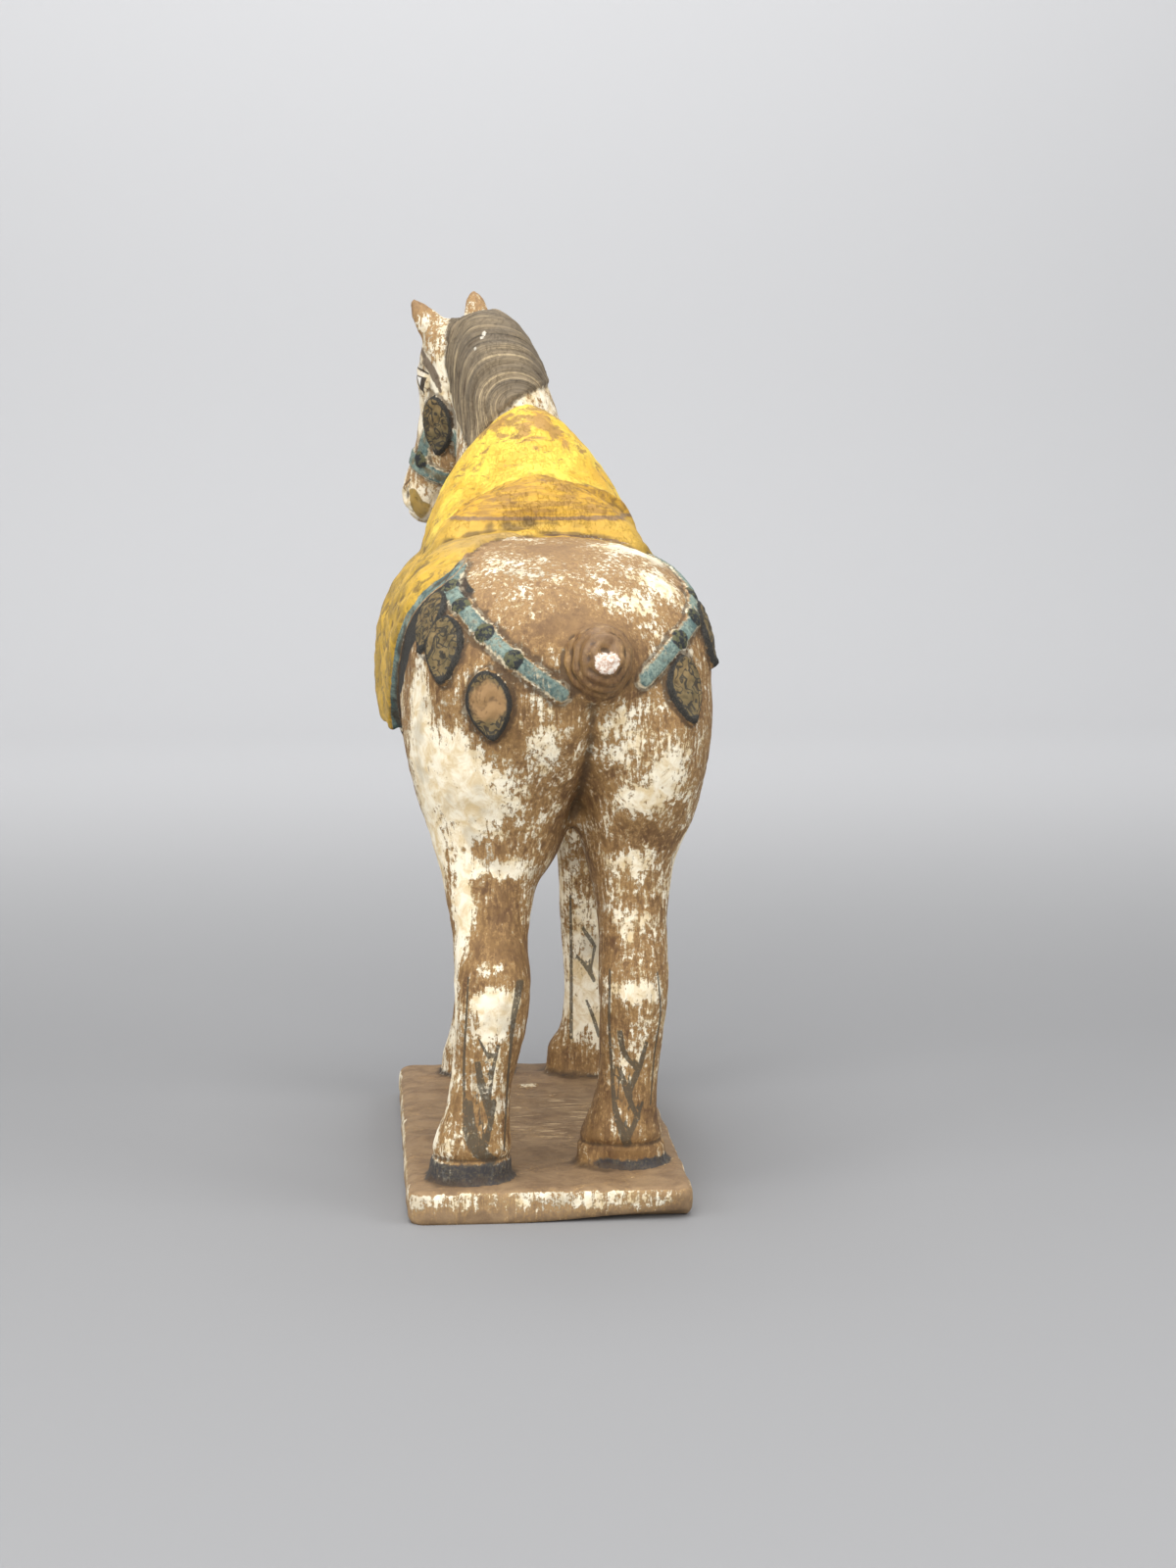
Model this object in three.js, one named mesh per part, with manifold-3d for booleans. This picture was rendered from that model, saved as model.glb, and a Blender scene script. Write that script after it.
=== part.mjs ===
// A painted terracotta horse of the Tang kind, standing foursquare on its slab, its head turned to its left.
// It is one casting in fired clay: horse, saddle, harness and slab are a single solid.
// Millimetres, +Z up. The horse looks along -Y and its left side is +X.
// The origin is the centre of the slab's underside.
import * as THREE from "three";
import { mergeVertices } from "three/addons/utils/BufferGeometryUtils.js";
import Module from "manifold-3d";

const wasm = await Module();
wasm.setup();

// Driving dimensions
const slabWide = 108;
const slabLong = 222;
const slabThick = 13;
const slabCorner = 7;
const slabBevel = 2;
const headTurn = THREE.MathUtils.degToRad(38);
const foreMiddle = -5;
const blanketSide = 5.5;
const blanketTop = 2.5;
const maneProud = 1.6;
const strapWide = 7;
const strapProud = 2;
const bridleWide = 4.6;
const bridleProud = 1.2;
const leafLong = 27;
const leafWide = 18;
const leafProud = 2.2;
const bossRadius = 4.6;
const bossProud = 2.6;
const eyeRadius = 3.4;
const nostrilRadius = 2.6;

// Body rows
// A row is one section of a limb: its centre x, y, z, its half width, its reach to the near side,
// its reach to the far side, and its squareness, 2 for an ellipse. The near side is the top of the trunk,
// the front of a leg, the crest of the neck and the brow of the head.
const trunkRows = [
  [-13.4, 107.5, 201, 17, 11, 12, 2],
  [-12.6, 103.5, 201, 33, 20.5, 24, 2.1],
  [-11, 96, 201, 45.5, 31, 35.5, 2.3],
  [-8.8, 83, 201, 55.3, 41.5, 45, 2.6],
  [-6.3, 62, 201, 58.5, 48.5, 49, 2.9],
  [-4.6, 42, 201, 59.5, 51.5, 53, 3],
  [-2.8, 20, 200, 57, 53.8, 56, 2.8],
  [-1, 0, 200, 56.5, 54.5, 57.5, 2.5],
  [0, -22, 200, 58, 55, 58, 2.4],
  [1, -48, 199, 56, 56, 58, 2.3],
  [2, -74, 198, 50, 52, 53, 2.2],
  [2, -96, 197, 42, 41, 45, 2.1],
  [2, -111, 195, 29, 27, 30, 2],
  [2, -118.5, 194, 12, 11, 12, 2],
];
const neckRows = [
  [1, -62, 188, 34, 28, 54, 2],
  [1, -67, 212, 38, 36, 50, 2],
  [1, -76, 237, 34.5, 37.5, 42, 2],
  [1.8, -84, 263, 28.5, 34, 36, 2],
  [4, -89, 286, 24, 31, 29.5, 2],
  [7, -92, 305, 21, 29, 24, 2],
  [11, -96, 321, 18.6, 25, 20, 2],
  [15.5, -101, 332.5, 15.5, 19, 16, 2],
  [19.5, -105, 340, 11, 11, 10, 2],
  [21, -107, 344.5, 3, 3, 3, 2],
];
const headRows = [
  [19, -104, 347, 3, 2, 3, 2],
  [21.5, -107.5, 341, 12, 8, 12, 2],
  [24, -112, 330, 14.6, 12.5, 19, 2.1],
  [26.5, -116.5, 317, 15.6, 15, 23, 2.2],
  [29.3, -121, 304, 15, 13.5, 24, 2.3],
  [32.8, -126, 291, 13.4, 11.5, 21.5, 2.3],
  [36.3, -131, 278.5, 11.2, 10, 14.5, 2.3],
  [39.2, -135, 268, 11.2, 10.5, 11, 2.3],
  [40.3, -137, 260, 10.2, 8.5, 10.5, 2.2],
  [39.8, -136.5, 254, 6, 4.5, 7, 2],
  [39.5, -136, 252.5, 2, 1.5, 2, 2],
];
const leftEarRows = [
  [29, -106, 329, 6, 5, 5, 2],
  [32.5, -107, 336, 6.6, 4.4, 4.4, 2],
  [37, -108, 342.5, 5.8, 3.6, 3.6, 2],
  [41.5, -109, 348.5, 3.6, 2.4, 2.4, 2],
  [44, -109.5, 352, 1.2, 0.9, 0.9, 2],
];
const rightEarRows = [
  [16.5, -117, 336, 6, 4.5, 4.5, 2],
  [17, -118.5, 343, 6.2, 4.2, 4.2, 2],
  [17.8, -120.5, 349.5, 5, 3.4, 3.4, 2],
  [18.3, -122.5, 354, 2.8, 2.2, 2.2, 2],
  [18.5, -123, 355.5, 0.9, 0.8, 0.8, 2],
];
const forelockRows = [
  [20.5, -106, 347, 4, 2, 3, 2],
  [26, -116, 343, 5.6, 2.6, 3, 2],
  [30.6, -121.4, 332.5, 5.4, 2.4, 3, 2],
  [34, -126, 321, 3, 1.6, 2, 2],
  [35, -127.5, 316, 0.8, 0.8, 0.8, 2],
];
const tailRows = [
  [-20, 123.5, 214.6, 1, 1, 1, 2],
  [-20, 122.5, 214.5, 3.2, 3.2, 3.6, 2],
  [-19.5, 119.5, 214, 6.8, 7, 8, 2],
  [-19, 114.5, 213, 10.5, 11, 12.5, 2],
  [-18.5, 109, 212, 13, 14, 16, 2],
  [-18, 103, 211, 14, 15, 17.5, 2],
  [-17, 94, 210, 10, 10, 12, 2],
];

// Leg rows, from inside the body down into the hoof.
const hindLeftRows = [
  [14, 57, 224, 18, 24, 26, 2],
  [18.5, 60, 207, 27, 33, 36, 2],
  [20, 62, 190, 33.8, 40, 41.5, 2],
  [19.6, 64, 176, 33.6, 40, 42, 2],
  [18.7, 66, 163, 31.2, 35, 38, 2.1],
  [18, 68, 150, 29, 29, 32, 2.1],
  [19.2, 71, 138, 24.8, 23.5, 24.5, 2.1],
  [21, 75.5, 124, 18.2, 17.5, 18.5, 2.1],
  [21, 81, 105, 14.7, 15.5, 16, 2.1],
  [20.8, 88.5, 86, 14.8, 13.5, 17, 2.1],
  [22.3, 90.5, 68, 13.4, 12.5, 13.8, 2.1],
  [25, 91, 52, 11.9, 11.2, 11.8, 2.1],
  [26.8, 91.5, 38, 12.6, 11.8, 12.2, 2.1],
  [28.4, 91, 27, 15, 14.2, 14.3, 2.2],
  [29.2, 90, 20, 15, 16, 13.8, 2.2],
  [29.5, 88.5, 12, 16.5, 18.5, 15.5, 2.2],
  [29.5, 88.5, 7, 15, 17, 14, 2.2],
];
const hindRightRows = [
  [-33, 56, 224, 15, 24, 26, 2],
  [-37.2, 59, 207, 23.5, 33, 36, 2],
  [-38.7, 60, 190, 27, 40, 41.5, 2],
  [-38.3, 61, 176, 26.6, 39, 42, 2],
  [-37, 62, 163, 25, 34, 38.5, 2.1],
  [-34.9, 63, 150, 23.3, 28, 32, 2.1],
  [-33.8, 64, 138, 19.8, 23, 24.5, 2.1],
  [-33.8, 66, 124, 15.6, 17, 18.5, 2.1],
  [-34.3, 69, 105, 13.2, 15, 15.8, 2.1],
  [-34.2, 72.5, 86, 13.8, 13.5, 16.5, 2.1],
  [-33.6, 73, 68, 13, 12.5, 13.5, 2.1],
  [-32.5, 72.5, 52, 11.8, 11.2, 11.8, 2.1],
  [-31, 72.5, 38, 12.6, 11.8, 12.2, 2.1],
  [-30, 71.5, 27, 15, 14.2, 14.3, 2.2],
  [-31, 70, 20, 15, 16, 13.8, 2.2],
  [-31.6, 68.5, 12, 16, 18.5, 15.5, 2.2],
  [-31.6, 68.5, 7, 15, 17, 14, 2.2],
];
// The forelegs are alike, so their rows give the spread from their middle instead of x.
const foreRows = [
  [20, -72, 214, 12, 14, 16, 2],
  [22.5, -76, 196, 18, 25, 26, 2],
  [24, -79, 171, 20, 28.5, 28, 2.1],
  [24, -82, 147, 17.8, 22, 23, 2.1],
  [23.8, -86, 124, 15, 16, 17.5, 2.1],
  [24, -88, 103, 13, 13.5, 14.5, 2.1],
  [24, -89, 86, 12.8, 14, 13, 2.1],
  [24, -88.5, 72, 11.6, 11.5, 12, 2.1],
  [24, -88, 53, 10.8, 10.5, 11, 2.1],
  [24, -89, 39, 11.6, 11.5, 12, 2.1],
  [24.3, -91, 28, 13.8, 13.5, 13, 2.1],
  [24.5, -93, 20, 13.6, 14, 12, 2.2],
  [25, -95, 12, 15, 14.5, 12.5, 2.2],
  [25, -95, 7, 14, 13.5, 11.5, 2.2],
];
// The clay pressed round a hoof: height, half width, reach to the front, reach to the back.
const moundRows = [
  [30, 4, 4, 4],
  [27, 13, 12, 12],
  [19, 17, 16, 15.5],
  [14.5, 19.5, 18, 18.5],
  [8, 21, 20, 20],
];
// Each hoof's middle, x and y, and the size of its clay.
const hooves = [
  [29.5, 89, 1],
  [-31.6, 69, 1],
  [foreMiddle + 25, -94, 0.87],
  [foreMiddle - 25, -94, 0.87],
];

// The cleft cut between the buttocks, from under the tail down to the fork.
const cleftRows = [
  [-16.5, 110, 197, 0.6, 1, 2, 2],
  [-16, 110, 190, 2, 4, 4, 2],
  [-15.5, 108, 178, 3.4, 9, 6, 2],
  [-14, 104, 164, 4, 13, 8, 2],
  [-12, 98, 150, 4.4, 17, 10, 2],
  [-10.5, 94, 138, 5, 22, 12, 2],
];

// The saddle under its cloth, from the foot of the cantle over the seat to the pommel against the neck.
const saddleRows = [
  [-1.5, 25, 246, 30, 6, 6, 2.2],
  [-1.5, 21, 245, 41, 14, 10, 1.8],
  [-1.5, 16.5, 245, 43.5, 26, 12, 1.6],
  [-1.5, 11.5, 245, 44.5, 31.5, 12, 1.55],
  [-1.5, 5, 245, 44.5, 31, 12, 1.55],
  [-1.3, -4, 245, 44.5, 33, 12, 1.55],
  [-1.2, -14, 245, 45, 41, 12, 1.5],
  [-1, -24, 245, 45, 51.5, 12, 1.5],
  [-0.6, -33, 245, 45, 59, 12, 1.5],
  [0, -41, 245, 44, 61, 12, 1.5],
  [0.5, -48, 245, 41, 58, 12, 1.55],
  [1, -55, 245, 36, 46, 10, 1.6],
  [1, -61, 245, 24, 24, 8, 1.8],
];

// Side outlines of the blanket, y and z. Its rear edge reaches farther back on the left.
const blanketFront = [
  [9, 175],
  [-38, 174],
  [-47, 177],
  [-52, 186],
  [-54, 205],
  [-54, 275],
];
const blanketRearLeft = [
  [22, 275],
  [22, 258],
  [36, 254.5],
  [60, 250],
  [70, 242.5],
  [67, 235],
  [61, 224.5],
  [50, 208],
  [43, 200],
  [27, 189],
  [12, 181],
];
const blanketRearRight = [
  [22, 275],
  [22, 254],
  [29, 244],
  [33, 230],
  [32, 212],
  [28, 198],
  [22.5, 187],
  [17, 179],
];

const left = new THREE.Vector3(1, 0, 0);
const up = new THREE.Vector3(0, 0, 1);
const headLeft = new THREE.Vector3(Math.cos(headTurn), Math.sin(headTurn), 0);

// One row of numbers between two rows, on a Catmull-Rom spline through all the rows.
function rowAt(rows, t) {
  const last = rows.length - 1;
  const i = Math.min(Math.floor(t), last - 1);
  const f = t - i;
  const [a, b, c, d] = [i - 1, i, i + 1, i + 2].map((k) => rows[Math.max(0, Math.min(last, k))]);
  return b.map((_, k) => {
    const slopeIn = (c[k] - a[k]) / 2;
    const slopeOut = (d[k] - b[k]) / 2;
    const rise = c[k] - b[k];
    const square = 3 * rise - 2 * slopeIn - slopeOut;
    const cube = slopeIn + slopeOut - 2 * rise;
    return b[k] + f * (slopeIn + f * (square + f * cube));
  });
}

// A closed skin over rows of sections. Each section stands square to the path of the rows,
// and side is the way of its half width.
function limb(rows, around, stepsPerRow, side = left) {
  const rings = (rows.length - 1) * stepsPerRow;
  const points = [];
  const faces = [];
  for (let r = 0; r <= rings; r++) {
    const t = r / stepsPerRow;
    const [x, y, z, half, near, far, square] = rowAt(rows, t);
    const before = new THREE.Vector3(...rowAt(rows, Math.max(0, t - 0.05)).slice(0, 3));
    const after = new THREE.Vector3(...rowAt(rows, Math.min(rows.length - 1, t + 0.05)).slice(0, 3));
    const along = after.sub(before).normalize();
    const nearWay = new THREE.Vector3().crossVectors(along, side).normalize();
    const across = new THREE.Vector3().crossVectors(nearWay, along).normalize();
    for (let k = 0; k < around; k++) {
      const turn = (2 * Math.PI * k) / around;
      const c = Math.cos(turn);
      const s = Math.sin(turn);
      const wide = half * Math.sign(c) * Math.abs(c) ** (2 / square);
      const high = (s > 0 ? near : far) * Math.sign(s) * Math.abs(s) ** (2 / square);
      const centre = new THREE.Vector3(x, y, z);
      points.push(centre.addScaledVector(across, wide).addScaledVector(nearWay, high));
    }
  }
  const first = points.push(new THREE.Vector3(...rows[0].slice(0, 3))) - 1;
  const last = points.push(new THREE.Vector3(...rows[rows.length - 1].slice(0, 3))) - 1;
  for (let k = 0; k < around; k++) {
    const next = (k + 1) % around;
    faces.push(first, next, k);
    faces.push(last, rings * around + k, rings * around + next);
    for (let r = 0; r < rings; r++) {
      const a = r * around + k;
      const b = r * around + next;
      faces.push(a, b, b + around, a, b + around, a + around);
    }
  }
  return solid(new THREE.BufferGeometry().setFromPoints(points).setIndex(faces));
}

// The same rows with a layer laid over them, so thick at the sides and so thick on the near side.
function grown(rows, sides, top) {
  return rows.map(([x, y, z, half, near, far, square]) => [
    x,
    y,
    z,
    half + sides,
    near + top,
    far + sides,
    square,
  ]);
}

// A slice of space between two planes of constant x, cut to an outline drawn in y and z.
function sideSlice(points, from, to) {
  const outline = new THREE.Shape(points.map(([y, z]) => new THREE.Vector2(y, z)));
  const slice = new THREE.ExtrudeGeometry(outline, { depth: to - from, bevelEnabled: false });
  slice.applyMatrix4(new THREE.Matrix4().makeBasis(new THREE.Vector3(0, 1, 0), up, left));
  slice.translate(from, 0, 0);
  return solid(slice);
}

// A closed sheet between two grids of points, outer and inner. The way along the rows crossed with
// the way along the columns points outward.
function sheet(outer, inner) {
  const rows = outer.length;
  const columns = outer[0].length;
  const under = rows * columns;
  const faces = [];
  const quad = (a, b, c, d) => faces.push(a, b, c, a, c, d);
  for (let r = 0; r + 1 < rows; r++) {
    for (let k = 0; k + 1 < columns; k++) {
      const a = r * columns + k;
      quad(a, a + columns, a + columns + 1, a + 1);
      quad(under + a, under + a + 1, under + a + columns + 1, under + a + columns);
    }
    const start = r * columns;
    const end = start + columns - 1;
    quad(start, under + start, under + start + columns, start + columns);
    quad(end, end + columns, under + end + columns, under + end);
  }
  for (let k = 0; k + 1 < columns; k++) {
    const end = (rows - 1) * columns + k;
    quad(k, k + 1, under + k + 1, under + k);
    quad(end, under + end, under + end + 1, end + 1);
  }
  const points = [...outer.flat(), ...inner.flat()];
  return solid(new THREE.BufferGeometry().setFromPoints(points).setIndex(faces));
}

// A three.js geometry as a solid, with its shared corners merged.
function solid(geometry) {
  geometry.deleteAttribute("normal");
  geometry.deleteAttribute("uv");
  const merged = mergeVertices(geometry, 1e-4);
  return new wasm.Manifold(
    new wasm.Mesh({
      numProp: 3,
      vertProperties: new Float32Array(merged.attributes.position.array),
      triVerts: new Uint32Array(merged.index.array),
    }),
  );
}

function geometryOf(made) {
  const mesh = made.getMesh();
  const geometry = new THREE.BufferGeometry();
  geometry.setAttribute("position", new THREE.BufferAttribute(new Float32Array(mesh.vertProperties), 3));
  geometry.setIndex(new THREE.BufferAttribute(new Uint32Array(mesh.triVerts), 1));
  return geometry;
}

function join(solids) {
  return solids.reduce((all, next) => all.add(next));
}

// A body's surface to lay trappings on: where a line straight in towards a middle point meets it,
// and the outward way there.
function surfaceOf(made) {
  const skin = new THREE.Mesh(geometryOf(made), new THREE.MeshBasicMaterial());
  skin.geometry.computeVertexNormals();
  const caster = new THREE.Raycaster();
  return (middle, way) => {
    caster.set(middle.clone().addScaledVector(way, 150), way.clone().negate());
    const { point, normal } = caster.intersectObject(skin)[0];
    return { point, out: normal.clone().normalize() };
  };
}

// A direction from its turn about the upright, counted from the left side towards the tail,
// and its rise, both in degrees.
function bearing(turn, rise) {
  const [a, b] = [turn, rise].map(THREE.MathUtils.degToRad);
  return new THREE.Vector3(Math.cos(b) * Math.cos(a), Math.cos(b) * Math.sin(a), Math.sin(b));
}

// A strap laid on a surface through a row of bearings from a middle point.
function strap(surface, middle, stops, steps, wide, proud) {
  const path = new THREE.CatmullRomCurve3(stops.map(([turn, rise]) => new THREE.Vector3(turn, rise, 0)));
  const spots = path.getPoints(steps).map((p) => surface(middle, bearing(p.x, p.y)));
  const outer = [];
  const inner = [];
  spots.forEach(({ point, out }, i) => {
    const behind = spots[Math.max(i - 1, 0)].point;
    const ahead = spots[Math.min(i + 1, steps)].point.clone().sub(behind).normalize();
    const across = new THREE.Vector3().crossVectors(out, ahead).normalize();
    const edges = [-0.5, 0, 0.5].map((share) => {
      const way = point.clone().addScaledVector(across, share * wide).sub(middle).normalize();
      return { share, point: surface(middle, way).point };
    });
    const stand = (edge) => (edge.share ? proud * 0.75 : proud);
    outer.push(edges.map((edge) => edge.point.clone().addScaledVector(out, stand(edge))));
    inner.push(edges.map((edge) => edge.point.clone().addScaledVector(out, -2)));
  });
  return sheet(outer, inner);
}

// A leaf pendant lying on a surface, from its middle's bearing and its lean from hanging straight down.
function leaf(surface, middle, turn, rise, lean) {
  const { point, out } = surface(middle, bearing(turn, rise));
  const plumb = new THREE.Vector3(0, 0, -1);
  const down = plumb.addScaledVector(out, -plumb.dot(out)).normalize();
  down.applyAxisAngle(out, THREE.MathUtils.degToRad(lean));
  const across = new THREE.Vector3().crossVectors(out, down);
  const outer = [];
  const inner = [];
  [0, 0.17, 0.5, 0.83, 1].forEach((share) => {
    const half = Math.max(0.5, (leafWide / 2) * Math.sin(Math.PI * share ** 0.85) ** 0.7);
    const spots = [-1, 0, 1].map((k) => {
      const at = point.clone().addScaledVector(down, (share - 0.5) * leafLong);
      at.addScaledVector(across, k * half);
      return { k, ...surface(middle, at.sub(middle).normalize()) };
    });
    const stand = (spot) => (spot.k ? leafProud * 0.6 : leafProud);
    outer.push(spots.map((spot) => spot.point.clone().addScaledVector(out, stand(spot))));
    inner.push(spots.map((spot) => spot.point.clone().addScaledVector(out, -2)));
  });
  return sheet(outer, inner);
}

// A low round boss on a surface.
function boss(surface, middle, turn, rise, radius = bossRadius, proud = bossProud) {
  const { point, out } = surface(middle, bearing(turn, rise));
  const dome = new THREE.SphereGeometry(1, 8, 4);
  dome.scale(radius, proud, radius);
  dome.applyQuaternion(new THREE.Quaternion().setFromUnitVectors(new THREE.Vector3(0, 1, 0), out));
  dome.translate(point.x, point.y, point.z);
  return solid(dome);
}

// The slab: a hand-cut tile with rounded corners and softened edges.
function slab() {
  const [w, l, r] = [slabWide / 2 - slabBevel, slabLong / 2 - slabBevel, slabCorner - slabBevel];
  const outline = new THREE.Shape();
  [
    [w - r, -l + r, -Math.PI / 2],
    [w - r, l - r, 0],
    [-w + r, l - r, Math.PI / 2],
    [-w + r, -l + r, Math.PI],
  ].forEach(([x, y, from]) => outline.absarc(x, y, r, from, from + Math.PI / 2, false));
  const tile = new THREE.ExtrudeGeometry(outline, {
    depth: slabThick - 2 * slabBevel,
    bevelThickness: slabBevel,
    bevelSize: slabBevel,
    bevelSegments: 2,
    curveSegments: 3,
  });
  tile.translate(0, 0, slabBevel);
  return solid(tile);
}

function foreLeg(side) {
  return limb(foreRows.map(([spread, ...rest]) => [foreMiddle + side * spread, ...rest]), 14, 1);
}

function mound([x, y, size]) {
  const rows = moundRows.map(([z, ...reaches]) => [x, y, z, ...reaches.map((reach) => reach * size), 2.4]);
  return limb(rows, 12, 1);
}

// The bare body, and the surfaces the trappings lie on
const trunk = limb(trunkRows, 26, 2);
const hindLegs = join([limb(hindLeftRows, 14, 1), limb(hindRightRows, 14, 1)]);
const quarters = join([trunk, hindLegs]).subtract(limb(cleftRows, 8, 1));
const foreLegs = join([foreLeg(1), foreLeg(-1)]);
const neck = limb(neckRows, 22, 1);
const head = limb(headRows, 14, 2, headLeft);
const rump = surfaceOf(quarters);
const chest = surfaceOf(join([trunk, foreLegs, neck]));
const face = surfaceOf(head);

// The breeching: a strap from under the blanket round the rump to the tail on each side,
// with bosses on it and leaves hanging below
const rumpMiddle = new THREE.Vector3(-5, 45, 205);
const leftBosses = [[40, 31], [52, 23], [64, 14], [74, 6]];
const rightBosses = [[135, 11], [147, 18], [160, 26]];
const leftBreeching = [[-13, 47], [28, 43], ...leftBosses, [89, -5]];
const rightBreeching = [[118, -1], ...rightBosses, [180, 34], [205, 41]];
const breeching = join([
  strap(rump, rumpMiddle, leftBreeching, 11, strapWide, strapProud),
  strap(rump, rumpMiddle, rightBreeching, 9, strapWide, strapProud),
  ...[...leftBosses, ...rightBosses].map(([turn, rise]) => boss(rump, rumpMiddle, turn, rise)),
  leaf(rump, rumpMiddle, 39, 17, 14),
  leaf(rump, rumpMiddle, 50, 8, 10),
  leaf(rump, rumpMiddle, 67, -8, 6),
  leaf(rump, rumpMiddle, 134, -5, 0),
  leaf(rump, rumpMiddle, 157, 12, -14),
]);

// The breast strap, from the blanket's front edges round the chest, with leaves hanging below
const chestMiddle = new THREE.Vector3(0, -60, 205);
const roundChest = [[8, 8], [-20, 2], [-50, -6], [-90, -10], [-130, -6], [-160, 2], [-188, 8]];
const breastStrap = join([
  strap(chest, chestMiddle, roundChest, 14, strapWide, strapProud),
  leaf(chest, chestMiddle, -56, -22, 8),
  leaf(chest, chestMiddle, -90, -26, 0),
  leaf(chest, chestMiddle, -124, -22, -8),
]);

// The bridle: a noseband, a strap up each cheek to a leaf, and a strap under the jaw
const headMiddle = new THREE.Vector3(29, -120, 300);
const otherSide = ([turn, rise]) => [2 * THREE.MathUtils.radToDeg(headTurn) + 180 - turn, rise];
const cheekStops = [[1, -55], [20, -42], [50, -20], [65, -12]];
const throatStops = [[65, -12], [95, -24], [128, -34], [161, -24], [191, -12]];
const noseband = [5.6, 5.87, 6.14].map((t) => rowAt(grown(headRows, bridleProud, bridleProud), t));
const bridle = join([
  limb(noseband, 14, 1, headLeft),
  strap(face, headMiddle, throatStops, 6, bridleWide, bridleProud),
  strap(face, headMiddle, cheekStops, 4, bridleWide, bridleProud),
  strap(face, headMiddle, cheekStops.map(otherSide), 4, bridleWide, bridleProud),
  boss(face, headMiddle, ...cheekStops[0]),
  boss(face, headMiddle, ...otherSide(cheekStops[0])),
  leaf(face, headMiddle, 65, -13, -8),
  leaf(face, headMiddle, ...otherSide([65, -13]), 8),
]);

// The eyes and nostrils stand out a little from the face
const eyeMiddle = new THREE.Vector3(26.5, -116.5, 317);
const muzzleMiddle = new THREE.Vector3(39.6, -136, 264);
const features = join([
  ...[[17, 0], otherSide([17, 0])].map((at) => boss(face, eyeMiddle, ...at, eyeRadius, 1.5)),
  ...[[-17, 0], otherSide([-17, 0])].map((at) => boss(face, muzzleMiddle, ...at, nostrilRadius, 1.2)),
]);

// The mane is a layer over the upper neck and its crest
const maneRows = neckRows.slice(2).map(([x, y, z, half, near, , square]) => [
  x,
  y,
  z,
  half + maneProud,
  near + maneProud,
  2,
  square,
]);

// The blanket under the saddle is a layer over the trunk, cut to its outline on each side
const blanketSkin = limb(grown(trunkRows, blanketSide, blanketTop), 26, 2);
const blanket = join([
  blanketSkin.intersect(sideSlice([...blanketRearLeft, ...blanketFront], 10, 90)),
  blanketSkin.intersect(sideSlice([...blanketRearRight, ...blanketFront], -90, 10)),
]);

const horse = join([
  quarters,
  foreLegs,
  neck,
  head,
  limb(leftEarRows, 10, 1),
  limb(rightEarRows, 10, 1),
  limb(tailRows, 16, 1),
  limb(saddleRows, 24, 1),
  blanket,
  breeching,
  breastStrap,
  bridle,
  features,
  limb(maneRows, 18, 1),
  limb(forelockRows, 8, 1, headLeft),
  ...hooves.map(mound),
  slab(),
]);

const clay = new THREE.MeshStandardMaterial({ color: 0xb08a5c, roughness: 0.9, metalness: 0 });
const group = new THREE.Group();
const figure = new THREE.Mesh(geometryOf(horse), clay);
figure.name = "terracotta_horse";
group.add(figure);

export default group;
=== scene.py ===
import math

import bpy
import numpy as np
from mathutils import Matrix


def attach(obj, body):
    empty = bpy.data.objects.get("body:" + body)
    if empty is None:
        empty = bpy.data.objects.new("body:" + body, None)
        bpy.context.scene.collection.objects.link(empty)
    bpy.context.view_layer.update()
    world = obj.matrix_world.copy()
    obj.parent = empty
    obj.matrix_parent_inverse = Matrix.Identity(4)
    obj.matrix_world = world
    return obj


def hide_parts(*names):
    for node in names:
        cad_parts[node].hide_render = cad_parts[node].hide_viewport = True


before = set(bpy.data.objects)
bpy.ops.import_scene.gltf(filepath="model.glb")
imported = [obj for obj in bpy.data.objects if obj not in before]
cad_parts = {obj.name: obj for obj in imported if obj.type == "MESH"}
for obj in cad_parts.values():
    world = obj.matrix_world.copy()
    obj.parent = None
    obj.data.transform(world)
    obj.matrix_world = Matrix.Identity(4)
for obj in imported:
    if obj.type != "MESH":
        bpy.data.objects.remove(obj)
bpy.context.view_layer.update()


# The viewpoint
# The camera stands about 1.2 metres behind the horse, a little to its left and level with its mane,
# and is dipped towards the slab.
camera = bpy.data.objects.new("camera", bpy.data.cameras.new("camera"))
camera.data.lens = 67.6
camera.location = (0.0691, 1.1847, 0.2994)
camera.rotation_euler = (math.radians(90 - 7.06), 0, math.radians(180 - 4.41))
bpy.context.scene.collection.objects.link(camera)
bpy.context.scene.camera = camera
bpy.context.scene.view_settings.view_transform = "Standard"


# The barrel and quarters
# The real trunk is two half shells of pressed clay joined along the back. Here it is one skin over a row
# of sections. A row gives a section's middle x, y, z, its half width, its reach to the near side, its
# reach to the far side and its squareness, all in millimetres. The near side is the back of the trunk.
trunk_rows = [
    [-13.4, 107.5, 201, 17, 11, 12, 2],
    [-12.6, 103.5, 201, 33, 20.5, 24, 2.1],
    [-11, 96, 201, 45.5, 31, 35.5, 2.3],
    [-8.8, 83, 201, 55.3, 41.5, 45, 2.6],
    [-6.3, 62, 201, 58.5, 48.5, 49, 2.9],
    [-4.6, 42, 201, 59.5, 51.5, 53, 3],
    [-2.8, 20, 200, 57, 53.8, 56, 2.8],
    [-1, 0, 200, 56.5, 54.5, 57.5, 2.5],
    [0, -22, 200, 58, 55, 58, 2.4],
    [1, -48, 199, 56, 56, 58, 2.3],
    [2, -74, 198, 50, 52, 53, 2.2],
    [2, -96, 197, 42, 41, 45, 2.1],
    [2, -111, 195, 29, 27, 30, 2],
    [2, -118.5, 194, 12, 11, 12, 2],
]


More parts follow.
